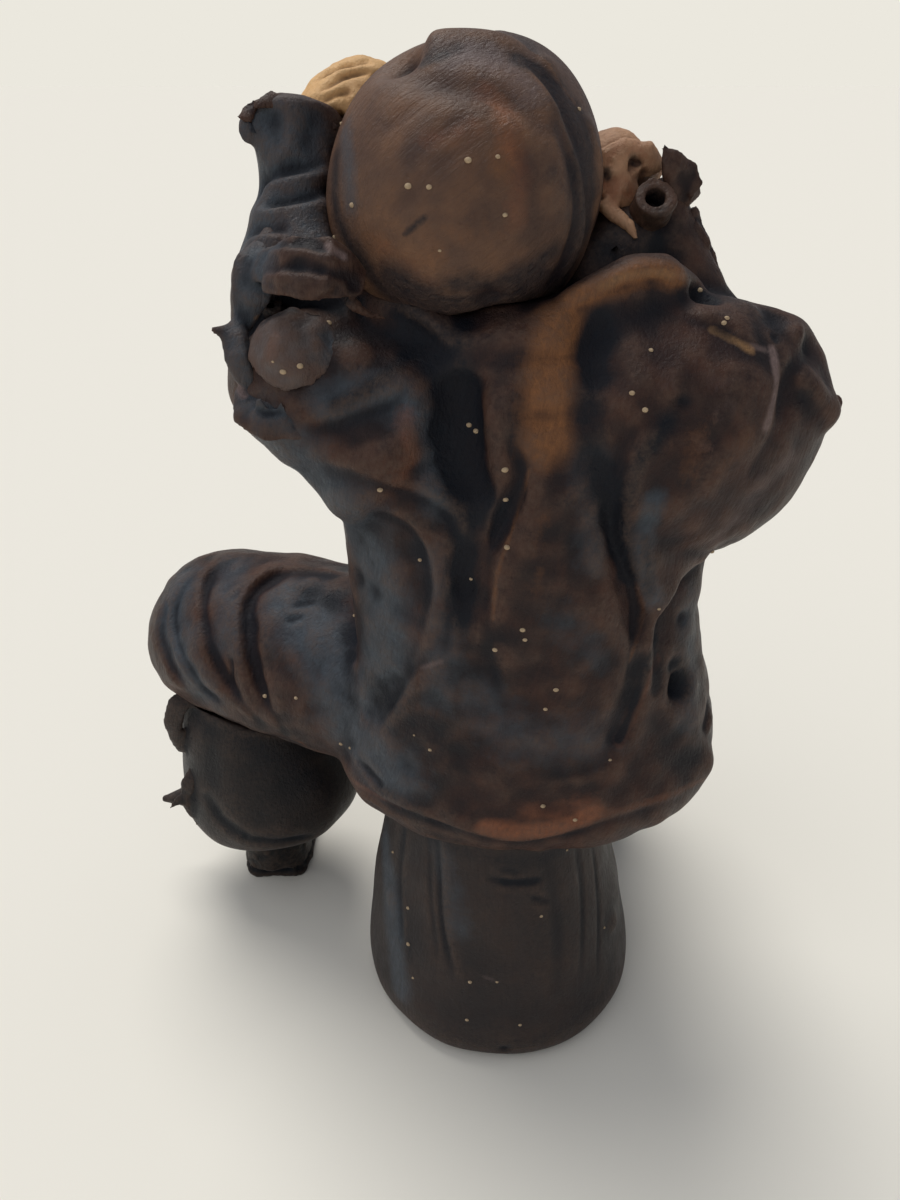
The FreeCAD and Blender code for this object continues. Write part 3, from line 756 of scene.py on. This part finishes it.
coat_colours = {
    # blue-grey paint; the strokes on the left flank, shoulder, sleeve and thigh are painted light from the
    # left
    "slate_and_side_light": (
        (front((-12, 66), (-13, 90)), 4.0, 0.6),
        (front((17, 71), (15, 90)), 4.0, 0.6),
        (((262, 120), (262, 200), (240, 280)), 6.0, 0.9),
        (((300, 120), (300, 200), (330, 260)), 5.0, 0.8),
        (((270, 440), (330, 500), (372, 560), (385, 640), (372, 700)), 7.0, 0.95),
        (((430, 560), (440, 640), (440, 700)), 5.0, 0.5),
        (((330, 400), (380, 395), (430, 430), (440, 500)), 4.0, 0.8),
        (((560, 620), (600, 660)), 5.0, 0.4),
        (((590, 460), (596, 560)), 4.0, 0.5),
        (((290, 600), (330, 660), (350, 730), (390, 770)), 8.0, 0.9),
        (((175, 600), (190, 640)), 4.0, 0.6),
        (((655, 500), (640, 560), (655, 600)), 2.4, 0.8),
        (((480, 700), (520, 740), (600, 740)), 7.0, 0.5),
        (((690, 600), (690, 720)), 4.0, 0.6),
        (((180, 580), (176, 640), (205, 690)), 6.0, 0.8),
        (((230, 570), (225, 640)), 6.0, 0.6),
    ),
    # ochre paint; the strokes below the neck, along the right shoulder's crest and along two fold crests of
    # the back are painted highlights
    "ochre_and_highlight": (
        (front((-48, 66), (-40, 66)), 4.0, 0.5),
        (front((8, 66), (18, 66)), 4.0, 0.5),
        (((566, 322), (556, 350), (549, 390), (548, 440)), 4.4, 1.0),
        (((545, 515), (538, 560), (535, 590)), 2.6, 0.25),
        (((529, 470), (512, 530), (497, 575), (493, 620)), 0.6, 0.5),
        (((630, 570), (642, 610), (630, 660)), 0.8, 0.4),
        (((745, 440), (715, 480)), 3.0, 0.3),
        (((572, 300), (610, 285), (650, 272), (680, 278)), 2.2, 1.0),
        (((690, 470), (700, 430)), 4.0, 0.3),
    ),
    "orange": (
        (front((-20, 120), (-24, 112)), 3.0, 0.4),
        (((486, 828), (519, 832), (556, 828), (594, 812)), 2.0, 1.0),
        (((530, 812), (590, 806)), 3.0, 0.5),
        (((600, 815), (650, 802), (704, 780)), 1.2, 0.4),
        (((655, 660), (640, 700), (618, 742)), 1.6, 0.4),
        (((300, 742), (345, 776), (400, 808)), 0.8, 0.35),
        (((405, 420), (412, 455), (400, 480)), 2.4, 0.45),
    ),
    # painted shade in the hollows, holes, folds, under the hem and in the cavity under the right shoulder
    "painted_shade": (
        (front((1, 62), (1, 56)), 5.0, 0.8),
        (((446, 340), (450, 390), (458, 440), (470, 505)), 5.0, 1.0),
        (((402, 300), (420, 330), (440, 360)), 4.0, 0.95),
        (((470, 500), (462, 560), (458, 620)), 3.0, 0.85),
        (((606, 320), (590, 380), (590, 440), (600, 500)), 3.4, 0.75),
        (((668, 425), (636, 470), (622, 520), (632, 575)), 2.4, 0.8),
        (((645, 540), (650, 590)), 1.6, 0.6),
        (((655, 640), (640, 690), (620, 740)), 0.9, 0.8),
        (((681, 690), (680, 665)), 2.2, 1.0),
        (((378, 690), (400, 720), (430, 735)), 5.0, 0.6),
        (((300, 590), (335, 605)), 2.4, 0.6),
        (((350, 640), (352, 700)), 3.0, 0.5),
        (((238, 330), (256, 304), (300, 292), (348, 305)), 2.6, 1.0),
        (((335, 405), (380, 380), (410, 350)), 1.6, 0.8),
        (((700, 294), (712, 300)), 1.4, 1.0),
        (((380, 790), (420, 810)), 2.0, 0.5),
        (((610, 250), (625, 235), (648, 240)), 5.0, 1.0),
        (((560, 560), (545, 640), (560, 700)), 3.0, 0.3),
    ),
    # painted highlights along the right shoulder's crest and the edge of the torn patch
    "painted_highlight": (
        (((600, 286), (640, 273), (672, 275)), 1.0, 0.4),
        (((712, 330), (752, 350)), 0.8, 0.7),
    ),
    "lilac": (
        (((772, 350), (777, 385), (767, 426)), 0.9, 1.0),
        (((765, 350), (752, 346)), 0.7, 0.7),
        (((420, 668), (441, 662)), 0.6, 0.5),
        (((720, 540), (750, 500), (790, 462)), 4.0, 0.3),
        (((690, 360), (715, 420), (722, 470)), 9.0, 0.2),
    ),
}
clothes.colour(coat_colours)
set_in_place(clothes.fire(coat_paint, coat_nodes))

# The left elbow, a clay ball bare in a hole that was torn in the sleeve. The ragged lips round it were
# pulled up with a point, and so was the rim of the sleeve at the wrist.
elbow = Clay("left_elbow", grain=0.3, smears=2, kneading=(4.0, 0.5, 2, 2))
elbow_presses = (
    (((296, 318), (306, 345), (318, 378)), 1.2, 0.3),
    (((325, 330), (340, 365)), 1.0, 0.25),
)
elbow_pushes = (
    ((275, 352), 3.0, -0.5),
)
elbow.shape(elbow_presses, pushes=elbow_pushes)
# The blue-black here is painted shade in the dark crescent under the rag's lip.
elbow_colours = {
    "painted_shade": ((((262, 322), (300, 308), (345, 322)), 1.4, 0.9),),
    "orange": ((((275, 335), (272, 360)), 1.6, 0.35),),
    "slate_and_side_light": ((((330, 340), (335, 370)), 2.4, 0.8),),
}
elbow.colour(elbow_colours)
elbow_paint = fired_clay("elbow_paint", (0.14, 0.115, 0.108), (0.06, 0.05, 0.05))
set_in_place(elbow.fire(elbow_paint))

rag_strips = (
    (((256, 266, -9), (288, 262, -14), (328, 264, -15), (366, 280, -12)), (4.0, 6.6, 6.6, 3.0)),
    (((262, 286, -13), (300, 284, -16), (340, 288, -15), (364, 292, -13)), (2.0, 3.6, 3.0, 1.4)),
    (((276, 232, -4), (257, 262, -8), (250, 298, -10), (242, 328, -9)), (3.0, 5.4, 5.0, 2.6)),
    (((244, 326, -10), (227, 334, -11), (210, 329, -12)), (3.6, 2.4, 0.5)),
    (((233, 332, -11), (240, 356, -12.5), (250, 382, -12.5), (250, 396, -12)), (3.4, 4.2, 3.6, 2.4)),
    (((232, 345, -10), (222, 352, -11)), (2.2, 0.5)),
    (((240, 368, -10), (232, 378, -11)), (2.2, 0.5)),
    (((238, 388, -12), (248, 408, -14), (270, 422, -15.5), (296, 424, -15), (309, 406, -13)),
     (1.8, 4.8, 5.2, 4.4, 1.4)),
    (((262, 416, -15.5), (258, 398, -16)), (3.0, 0.7)),
    (((280, 420, -15.5), (282, 402, -16)), (3.4, 0.7)),
    (((298, 420, -15), (300, 398, -15.5)), (3.0, 0.7)),
    (((243, 396, -10), (237, 386, -11)), (2.0, 0.6)),
    (((244, 122, 3), (250, 109, 4), (257, 97, 5)), (2.8, 2.4, 0.6)),
    (((253, 105, 3), (272, 100, 4), (290, 103, 4), (308, 108, 4), (323, 117, 5), (337, 131, 5)),
     (1.6, 2.6, 2.2, 2.8, 2.2, 1.2)),
    (((270, 100, 4), (266, 94, 5)), (2.0, 0.6)),
    (((302, 105, 4), (308, 98, 5)), (2.0, 0.6)),
    (((328, 121, 5), (337, 114, 6)), (1.8, 0.6)),
    (((345, 298, -14), (368, 315, -12), (394, 320, -11)), (2.2, 1.1, 0.6)),
)
rag_form = strips(bmesh.new(), rag_strips)
rag = Clay("left_elbow_rag", rag_form, grain=0.3, smears=5, kneading=(4.0, 0.4, 3, 2))
rag_folds = (
    (((262, 276), (300, 272), (350, 282)), 0.9, 0.5, 0.6),
    (((266, 250), (300, 248), (350, 262)), 0.9, 0.5, 0.5),
    (((244, 330), (250, 360), (262, 390)), 0.7, 0.4, 0.6),
    (((252, 412), (272, 418), (296, 416)), 0.7, 0.4, 0.6),
)
rag.shape(folds=rag_folds)
rag_colours = {
    "slate_and_side_light": (
        (((260, 250), (250, 320), (245, 380)), 6.0, 0.8),
        (((250, 400), (300, 415)), 4.0, 0.8),
    ),
    "lilac": (
        (((328, 246), (343, 256)), 0.8, 0.9),
        (((238, 386), (244, 396)), 0.8, 0.9),
    ),
    # painted highlight on the rag's edge
    "painted_highlight": ((((256, 318), (262, 314)), 0.5, 0.5),),
}
rag.colour(rag_colours)
set_in_place(rag.fire(coat_paint))

# The point of the right elbow, a pinched cone luted to the sleeve, and the torn band of clay round the
# right wrist. Both are of the coat's clay and take its paint, with its painted shade in the hollows.
point = Clay("right_elbow_point", grain=0.3, smears=4, kneading=(2.5, 0.35, 4))
set_in_place(point.fire(coat_paint))

cuff_strips = (
    (((686, 204, 4), (682, 184, 3), (672, 162, 2), (662, 143, 2)), (4.4, 5.0, 3.4, 0.6)),
    (((682, 192, 3), (690, 180, 3), (690, 168, 3), (682, 158, 3)), (3.4, 3.6, 2.6, 1.2)),
    (((688, 180, 3), (694, 192, 3)), (2.6, 0.7)),
    (((684, 214, 4), (690, 228, 4), (700, 252, 4), (714, 280, 4)), (4.0, 4.4, 4.4, 3.0)),
    (((692, 226, 3), (706, 249, 3), (706, 266, 3)), (2.4, 2.4, 1.0)),
)
cuff_form = strips(bmesh.new(), cuff_strips)
cuff = Clay("right_cuff", cuff_form, grain=0.3, smears=4, kneading=(3.5, 0.4, 5, 2))
set_in_place(cuff.fire(coat_paint))

# The breeches legs, bells of clay pinched from one lump each and luted under the thighs. The hem of
# the left one is torn: a flap and a long spike stand off it. They are darker than the coat.
hem_strips = (
    (((192, 696, 13), (178, 704, 12), (172, 724, 12), (182, 752, 13)), (5.0, 4.6, 4.0, 1.6)),
    (((204, 770, 13), (192, 800, 12), (196, 818, 12)), (5.0, 6.0, 3.0)),
)
bell_form = strips(gathered(["left_breeches_leg"]), hem_strips)
bell = Clay("left_breeches_leg", bell_form, grain=0.45, smears=5, kneading=(9.0, 0.7, 6, 1))
bell_presses = (
    (((205, 790), (222, 820), (250, 838)), 2.0, 0.7),
    (((215, 720), (212, 770), (222, 815)), 3.0, 0.4),
    (((240, 838), (280, 842), (320, 836)), 1.6, 0.9),
)
bell.shape(bell_presses)
bell_colours = {
    # painted shade under the thigh and along the bottom of the bell
    "painted_shade": (
        (((190, 720), (250, 745), (330, 790)), 4.0, 0.6),
        (((230, 835), (300, 838)), 1.5, 0.8),
    ),
}
bell.colour(bell_colours)
breeches_paint = fired_clay("breeches_paint", (0.026, 0.023, 0.024), (0.013, 0.013, 0.015),
                            (0.036, 0.026, 0.023))
set_in_place(bell.fire(breeches_paint))

tatter_strips = (
    (((206, 812, 13), (192, 800, 12), (180, 800, 11.5), (169, 809, 11)), (5.0, 4.4, 2.6, 0.6)),
    (((196, 764, 13), (190, 782, 12), (184, 800, 11.5)), (2.0, 3.4, 2.4)),
    (((200, 812, 12), (198, 826, 12)), (3.4, 1.0)),
)
tatter_form = strips(gathered(["left_breeches_tatters"]), tatter_strips)
tatters = Clay("left_breeches_tatters", tatter_form, grain=0.3, smears=5, kneading=(3.5, 0.35, 7, 2))
set_in_place(tatters.fire(breeches_paint))

right_leg = Clay("right_breeches_leg", grain=0.5, smears=5, kneading=(9.0, 0.7, 8, 1))
right_leg_presses = (
    (front((6, 28), (8, 20), (7, 14)), 1.8, 0.7),
    (front((18, 30), (17, 22), (20, 14)), 1.8, 0.7),
)
right_leg.shape(right_leg_presses)
set_in_place(right_leg.fire(breeches_paint))

# The shoes, black and plain, pressed from one roll of clay each and luted under the breeches legs. A
# groove pressed in above the sole leaves a welt.
shoe_paint = fired_clay("shoe_paint", (0.012, 0.010, 0.010), (0.007, 0.007, 0.008), (0.02, 0.014, 0.012))
welt_low, welt_high, welt_depth = 1.2, 2.6, 0.5
for side in ("left", "right"):
    shoe = Clay(side + "_shoe", grain=0.4, smears=4, kneading=(3.5, 0.3, 9))
    groove = (shoe.co[:, 2] > welt_low) & (shoe.co[:, 2] < welt_high)
    shoe.co[groove] -= shoe.normal[groove] * [1, 1, 0] * welt_depth
    set_in_place(shoe.fire(shoe_paint))

# The head: a smooth ball behind, a soft cap pressed over it from the front, and a face on the far side.
# The photograph doesn't show the face, so it is a plain calm one on common proportions.
head_nodes = ["head", "cap", "face", "nose", "neck"]
head = Clay("head_lump", gathered(head_nodes), grain=0.42, smears=8, kneading=(12.0, 0.5, 10, 1))
head_presses = (
    (((556, 110), (572, 160), (578, 215), (566, 262), (540, 300)), 1.6, 1.0),
    (((402, 68), (425, 80), (460, 84), (495, 92), (525, 108), (545, 140)), 2.2, 0.8),
    (((424, 48), (460, 42), (500, 46), (530, 58)), 3.0, -1.2),
    (((585, 110), (598, 160), (598, 220)), 2.2, -0.8),
    (((505, 110), (540, 150), (552, 220)), 2.4, -0.5),
    (((425, 100), (380, 135)), 0.8, 0.25),
    (((470, 110), (420, 150)), 0.8, 0.25),
    (((480, 135), (430, 170)), 0.8, 0.2),
    (((420, 190), (385, 215)), 0.7, 0.25),
)
head_folds = (
    (((520, 62), (548, 90), (570, 130), (584, 180), (584, 240), (560, 290)), 1.5, 0.6, 0.8),
)
head_pushes = (
    ((404, 58), 3.0, 2.6),
    ((430, 48), 2.8, -1.2),
    ((545, 66), 2.4, -0.8),
    ((490, 300), 1.8, 0.9),
    ((500, 38), 2.0, -0.5),
)
head.shape(head_presses, head_folds, head_pushes)


def bow(x, z, half, rise):
    """A level arc across the face, seen from in front. Its middle rises above its ends."""
    return front((x - half, z), (x, z + rise), (x + half, z))


face_x, eye_z = -7.7, 131.0
for side in (-1, 1):
    eye_x = face_x + side * 5.2
    cheek = before(face_x + side * 8.2, eye_z - 7.0)
    under_lid = bow(eye_x, eye_z - 0.4, 2.5, -0.9)
    head.shape(presses=((bow(eye_x, eye_z + 3.8, 3.6, 1.4), 1.6, -1.0),),
               pushes=((before(eye_x, eye_z), 2.8, 1.9), (cheek, 3.6, -0.9)))
    head.shape(pushes=((before(eye_x, eye_z - 0.2), 1.8, -1.5),))
    head.shape(presses=(
        (under_lid, 0.6, 0.7),
        (bow(eye_x, eye_z + 1.5, 2.6, 0.9), 0.6, 0.5),
        (front((face_x + side * 3.4, eye_z - 6.6), (face_x + side * 5.0, eye_z - 9.4)), 0.8, 0.4),
    ))
    # painted shade in the crease under the lid and the fold over the eye
    head.brush("painted_shade", under_lid, 0.5, 0.9)
    head.brush("painted_shade", bow(eye_x, eye_z + 4.0, 3.6, 1.4), 0.9, 0.8)
    head.brush("orange", (cheek, before(face_x + side * 7.0, eye_z - 6.0)), 2.4, 0.5)
mouth_z = eye_z - 10.6
head.shape(presses=(
    (bow(face_x, mouth_z + 1.0, 3.4, 0.3), 1.0, -0.9),
    (bow(face_x, mouth_z - 1.4, 3.0, -0.4), 1.0, -1.0),
    (bow(face_x, mouth_z, 3.8, -0.2), 0.6, 1.0),
), pushes=((before(face_x, mouth_z - 5.2), 2.8, -1.0),))
# painted shade in the line of the mouth
head.brush("painted_shade", bow(face_x, mouth_z, 3.4, -0.2), 0.5, 0.9)
head.brush("orange", front((face_x - 3.0, mouth_z - 1.6), (face_x + 3.0, mouth_z - 1.6)), 0.9, 0.8)
head.brush("orange", front((face_x - 3.0, mouth_z + 1.2), (face_x + 3.0, mouth_z + 1.2)), 0.9, 0.7)
head_colours = {
    # painted shade on the right side and underside of the head, along its left rim, in the cap's edge and in
    # small cracks
    "painted_shade": (
        (((558, 100), (578, 160), (582, 230), (556, 290)), 3.4, 1.0),
        (((420, 316), (480, 322), (540, 308)), 3.4, 0.9),
        (((530, 66), (556, 100)), 1.6, 0.9),
        (((430, 55), (455, 48)), 1.4, 0.7),
        (((336, 160), (336, 210), (352, 250)), 2.4, 0.75),
        (((352, 250), (390, 295), (430, 318), (500, 322), (560, 300)), 2.6, 0.85),
        (((478, 302), (500, 298), (516, 300)), 1.2, 0.95),
        (((405, 234), (424, 218)), 0.5, 0.9),
        (((470, 305), (476, 298)), 0.4, 0.9),
        (((512, 130), (530, 170), (536, 240)), 2.0, 0.35),
        (((398, 284), (430, 302), (490, 306), (544, 282)), 4.2, 1.0),
        (((455, 286), (510, 282), (556, 252)), 2.8, 0.8),
        (((578, 118), (588, 168), (584, 222), (570, 256)), 3.4, 1.0),
        (((520, 60), (550, 82), (575, 120)), 2.0, 1.0),
        (((425, 62), (445, 54)), 1.2, 0.9),
        (((572, 110), (588, 165), (586, 230)), 2.8, 0.9),
        (((556, 130), (570, 180), (566, 235)), 2.0, 0.5),
    ),
    "orange": (
        (((505, 110), (520, 160), (516, 220)), 2.6, 0.4),
        (((380, 250), (430, 285)), 3.0, 0.3),
        (((486, 92), (508, 118), (512, 150)), 2.2, 0.5),
        (((430, 140), (470, 128)), 2.6, 0.35),
    ),
    "slate_and_side_light": (
        (((440, 50), (500, 60), (530, 90)), 3.4, 0.5),
        (((345, 130), (350, 200)), 2.6, 0.7),
    ),
    "ochre_and_highlight": (
        (((500, 105), (512, 140), (500, 170)), 2.4, 0.55),
        (((400, 110), (440, 100)), 3.0, 0.3),
        (((370, 240), (405, 256), (440, 256)), 2.6, 0.4),
        (((430, 235), (500, 230)), 4.0, 0.25),
    ),
    "lilac": ((((450, 56), (490, 62), (530, 90)), 3.4, 0.5),),
}
head.colour(head_colours)
head_paint = fired_clay("head_paint", (0.175, 0.094, 0.056), (0.058, 0.034, 0.028), (0.25, 0.122, 0.060),
                        (7.0, 1.0, 1.0), (0.0, -0.62, 0.2), 0.44)
cap_paint = fired_clay("cap_paint", (0.120, 0.078, 0.064), (0.042, 0.030, 0.028), (0.16, 0.092, 0.066))
skin_paint = fired_clay("skin_paint", (0.36, 0.20, 0.10), (0.22, 0.12, 0.065), (0.42, 0.24, 0.12), shine=0.5,
                        rub=(0.45, 0.29, 0.16))
head_paints = {"cap": cap_paint, "face": skin_paint, "nose": skin_paint, "neck": skin_paint}
for piece in set_in_place(head.fire(head_paint, head_nodes)):
    piece.data.materials[0] = head_paints.get(piece.name.removesuffix("_clay"), head_paint)

# The hands, lighter clay, closed round the horn and stuck into the sleeves. Their fingers are grooves
# pressed into each fist, and rolls of clay laid over the right one.
hand_paint = fired_clay("hand_paint", (0.86, 0.52, 0.225), (0.50, 0.28, 0.125), (0.90, 0.56, 0.25), shine=0.5,
                        rub=(0.62, 0.42, 0.22))
dark_hand_paint = fired_clay("dark_hand_paint", (0.52, 0.285, 0.165), (0.20, 0.105, 0.065),
                             (0.62, 0.35, 0.20), shine=0.5, rub=(0.40, 0.27, 0.17))
fist_places = {"left": (-20.4, 141.7), "right": (11.4, 135.0)}
finger_width = 2.9
finger_reach = 5.0
finger_splay = 1.1
groove_width, groove_depth = 0.7, 1.0
right_fingers = (
    (((602, 186, 4), (618, 190, 3), (632, 196, 4)), (4.8, 4.8, 4.0)),
    (((600, 174, 4), (604, 156, 4), (624, 147, 4), (648, 151, 4), (656, 170, 5)), (2.6, 2.6, 2.4, 2.6, 3.0)),
    (((620, 150, 4), (616, 172, 3), (620, 190, 3)), (2.4, 2.6, 2.8)),
    (((604, 200, 2), (614, 214, 1), (628, 224, 0), (636, 240, -1)), (2.6, 2.0, 1.8, 1.0)),
)
left_knuckles = (
    (((316, 80), (340, 66), (372, 60)), 0.6, 0.6),
    (((318, 92), (344, 76), (376, 70)), 0.6, 0.6),
    (((316, 104), (336, 94), (352, 92)), 0.6, 0.5),
)
left_thumb_hollow = (((378, 78), 0.9, 1.2),)
# The blue-black on the hands is painted shade in the thumb hollow, at the cuff, between the fingers and in
# the gap under the right fist.
hand_colours = {
    "left": {"painted_shade": ((((330, 110), (350, 125)), 1.6, 0.5), (((376, 78), (384, 82)), 0.9, 0.9))},
    "right": {
        "painted_shade": (
            (((606, 172), (608, 176)), 0.9, 1.0),
            (((632, 158), (638, 162)), 0.9, 1.0),
            (((640, 212), (650, 224)), 1.6, 0.6),
        ),
        "orange": (
            (((604, 186), (626, 192), (648, 204)), 2.6, 0.8),
            (((606, 156), (626, 148), (648, 156)), 1.6, 0.6),
        ),
    },
}
for side, paint in (("left", hand_paint), ("right", dark_hand_paint)):
    fist = gathered([side + "_hand"])
    if side == "right":
        strips(fist, right_fingers, flat=0.7)
    hand = Clay(side + "_hand", fist, grain=0.3, smears=3, kneading=(3.0, 0.25, 11))
    across, up = fist_places[side]
    grooves = [front((across + step, up + finger_reach), (across + step * finger_splay, up),
                     (across + step, up - finger_reach)) for step in (-finger_width, 0.0, finger_width)]
    hand.shape([(groove, groove_width, groove_depth) for groove in grooves])
    if side == "left":
        hand.shape(left_knuckles, pushes=left_thumb_hollow)
    hand.colour(hand_colours[side])
    set_in_place(hand.fire(paint))

# The horn, a roll of clay bent to a curve and laid in both hands. Its open end, which faces the camera,
# was bored with a skewer.
horn = Clay("horn", grain=0.25, smears=2, kneading=(3.0, 0.2, 12))
horn_colours = {
    # painted shade in the bore of the horn and round it
    "painted_shade": (
        (((640, 200), (670, 215)), 3.0, 0.4),
        (((655, 202), (657, 204)), 0.9, 1.0),
    ),
}
horn.colour(horn_colours)
set_in_place(horn.fire(fired_clay("horn_paint", (0.05, 0.032, 0.024), (0.03, 0.02, 0.016))))

# The stump: a tapered block of solid clay that carries the whole figure. Wood grain is scored down it
# with a point, and its rim is rounded with a finger.
stump = Clay("stump", grain=0.5, smears=6, kneading=(11.0, 0.5, 13, 1))
stump_presses = (
    (((405, 822), (400, 880), (402, 945)), 0.9, 0.4),
    (((438, 830), (440, 880), (443, 930), (455, 975)), 0.8, 0.3),
    (((428, 830), (431, 900), (438, 960)), 0.6, 0.25),
    (((545, 850), (556, 920), (556, 1000)), 1.6, 0.25),
    (((575, 835), (583, 900), (580, 980)), 0.8, 0.3),
    (((590, 830), (599, 900), (598, 985)), 0.6, 0.3),
    (((485, 878), (515, 884), (545, 880)), 0.7, 0.4),
    (((530, 897), (550, 903)), 0.6, 0.35),
    (((500, 870), (520, 874)), 0.6, 0.25),
)
stump_folds = (
    (((402, 945), (399, 880), (404, 825)), 0.9, 0.25, 0.25),
    (((458, 985), (445, 930), (440, 870), (438, 830)), 0.8, 0.2, 0.2),
)
stump_pushes = (
    ((612, 922), 2.2, -0.8),
    ((504, 1050), 1.4, 0.5),
    ((393, 900), 3.0, -0.4),
)
stump.shape(stump_presses, stump_folds, stump_pushes)
score_count = 15
score_start_share = 0.05
score_heights = (50, 38, 26, 12)
score_distance = 60
score_width = 1.0
score_depths = (0.16, 0.28)
stump_x = -2
for index in range(score_count):
    turn = math.pi * (score_start_share + index / score_count)
    way = Vector((math.cos(turn), math.sin(turn), 0))
    line = [(way.x * score_distance + stump_x, way.y * score_distance, z, -way.x, -way.y, 0)
            for z in score_heights]
    stump.work(line, score_width, score_depths[index % 2])
stump.look()
stump_colours = {
    # painted shade in the scored grooves, under the hem and along the bottom and right side of the stump
    "painted_shade": (
        (((405, 830), (404, 900), (410, 960)), 1.3, 0.6),
        (((505, 882), (535, 880)), 1.3, 0.8),
        (((430, 840), (520, 862), (590, 835)), 2.4, 0.5),
        (((430, 1030), (520, 1045), (600, 1000), (612, 960)), 3.0, 0.5),
    ),
    "lilac": ((((478, 975), (500, 982)), 0.6, 0.3),),
    "ochre_and_highlight": ((((388, 1000), (430, 1030), (500, 1050), (570, 1040)), 0.7, 0.3),),
    # painted light on the stump's lit left side
    "slate_and_side_light": (
        (((385, 840), (392, 920), (400, 990)), 4.0, 0.9),
        (((440, 850), (460, 930)), 4.0, 0.5),
    ),
    "orange": ((((520, 930), (540, 980)), 4.0, 0.08),),
}
stump.colour(stump_colours)
stump_paint = fired_clay("stump_paint", (0.034, 0.026, 0.025), (0.022, 0.019, 0.020), (0.046, 0.029, 0.024),
                         (1.2, 1.2, 9.0), (0.0, 0.0, 0.0), 0.5)
set_in_place(stump.fire(stump_paint))

# Crumbs of pale clay that stuck to the wash before it dried, each a fraction of a millimetre wide. Some
# are where the photograph shows them, and the rest are strewn.
crumb_form = bmesh.new()
dice = random.Random(7)
crumb_spots = {
    stump: ((393, 852), (413, 978), (470, 982), (497, 982), (467, 1020), (520, 1025), (567, 850), (408, 908)),
    clothes: ((471, 579), (469, 425), (476, 431), (632, 393), (645, 410), (651, 350), (700, 290), (724, 323),
              (727, 318), (525, 640), (495, 650), (265, 696), (296, 698), (341, 744), (350, 748), (543, 806),
              (380, 490), (505, 470), (556, 690), (420, 560), (430, 750), (575, 820), (610, 760)),
    elbow: ((283, 372), (300, 366)),
    head: ((429, 187), (408, 186), (468, 160), (579, 109), (505, 215), (455, 322), (420, 320), (352, 205)),
}
strewn_from = 90
sunk_share = 0.1
for lump, pixels in crumb_spots.items():
    ways = [(pixel, dice.uniform(0.5, 0.85)) for pixel in pixels]
    middle = Vector(lump.co.mean(0))
    for _ in range(len(pixels)):
        way = Vector((dice.gauss(0, 1), dice.gauss(0, 1), dice.gauss(0, 0.6))).normalized()
        ways.append(((*(middle + way * strewn_from), *(-way)), dice.uniform(0.35, 0.8)))
    for way, width in ways:
        place, normal = lump.meet(way)
        if place is not None:
            widths = (width, width * dice.uniform(0.6, 1), width * 0.8)
            pellet(crumb_form, place - normal * width * sunk_share, widths)
crumb_mesh = bpy.data.meshes.new("crumbs")
crumb_form.to_mesh(crumb_mesh)
crumb_form.free()
crumb_mesh.polygons.foreach_set("use_smooth", [True] * len(crumb_mesh.polygons))
crumb_paint = Recipe("crumb_paint")
pale = crumb_paint.mix(crumb_paint.grain(1.2), (0.50, 0.40, 0.27), (0.30, 0.20, 0.12))
dull = crumb_paint.grain(2.0) * 0.3 + 0.5
gritty = crumb_paint.bump(crumb_paint.grain(0.3), 0.1, 0.5)
crumb_mesh.materials.append(crumb_paint.finish(pale, dull, gritty))
crumbs = bpy.data.objects.new("crumbs", crumb_mesh)
bpy.context.scene.collection.objects.link(crumbs)
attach(crumbs, "root")

# A flat sheet of pale paper under the figure, and daylight from above that has hardly any direction. The
# paper goes on out of sight, so lines of view that pass over its far edge see its own colour.
paper_reach = 30.0
paper_mesh = bpy.data.meshes.new("paper")
paper_form = bmesh.new()
bmesh.ops.create_grid(paper_form, x_segments=1, y_segments=1, size=paper_reach)
paper_form.to_mesh(paper_mesh)
paper_form.free()
sheet = bpy.data.objects.new("paper", paper_mesh)
bpy.context.scene.collection.objects.link(sheet)
paper = Recipe("paper")
paper.shader.inputs["Base Color"].default_value = (0.83, 0.80, 0.725, 1.0)
paper.shader.inputs["Roughness"].default_value = 0.8
paper.shader.inputs["Specular IOR Level"].default_value = 0.0
paper_mesh.materials.append(paper.material)


def daylight(name, tilt, turn, spread, strength, tint):
    """Light from a broad patch of sky: tilted from overhead, then turned about the upright."""
    data = bpy.data.lights.new(name, "SUN")
    data.energy = strength
    data.angle = math.radians(spread)
    data.color = tint
    lamp = bpy.data.objects.new(name, data)
    lamp.rotation_euler = (math.radians(tilt), 0, math.radians(turn))
    bpy.context.scene.collection.objects.link(lamp)


daylight("window", -24, 28, 34, 1.95, (1.0, 0.985, 0.95))
daylight("room", 44, -56, 80, 0.75, (0.97, 0.98, 1.0))
world = bpy.data.worlds.new("world")
bpy.context.scene.world = world
world.use_nodes = True
sky = world.node_tree.nodes
sky["Background"].inputs["Color"].default_value = (0.90, 0.93, 1.0, 1.0)
sky["Background"].inputs["Strength"].default_value = 0.30
far_paper = sky.new("ShaderNodeBackground")
far_paper.inputs["Color"].default_value = (0.832, 0.806, 0.731, 1.0)
view_line = sky.new("ShaderNodeLightPath")
either = sky.new("ShaderNodeMixShader")
for start, end in ((view_line.outputs["Is Camera Ray"], either.inputs[0]),
                   (sky["Background"].outputs[0], either.inputs[1]),
                   (far_paper.outputs[0], either.inputs[2]),
                   (either.outputs[0], sky["World Output"].inputs["Surface"])):
    world.node_tree.links.new(start, end)
bpy.context.scene.view_settings.view_transform = "Standard"
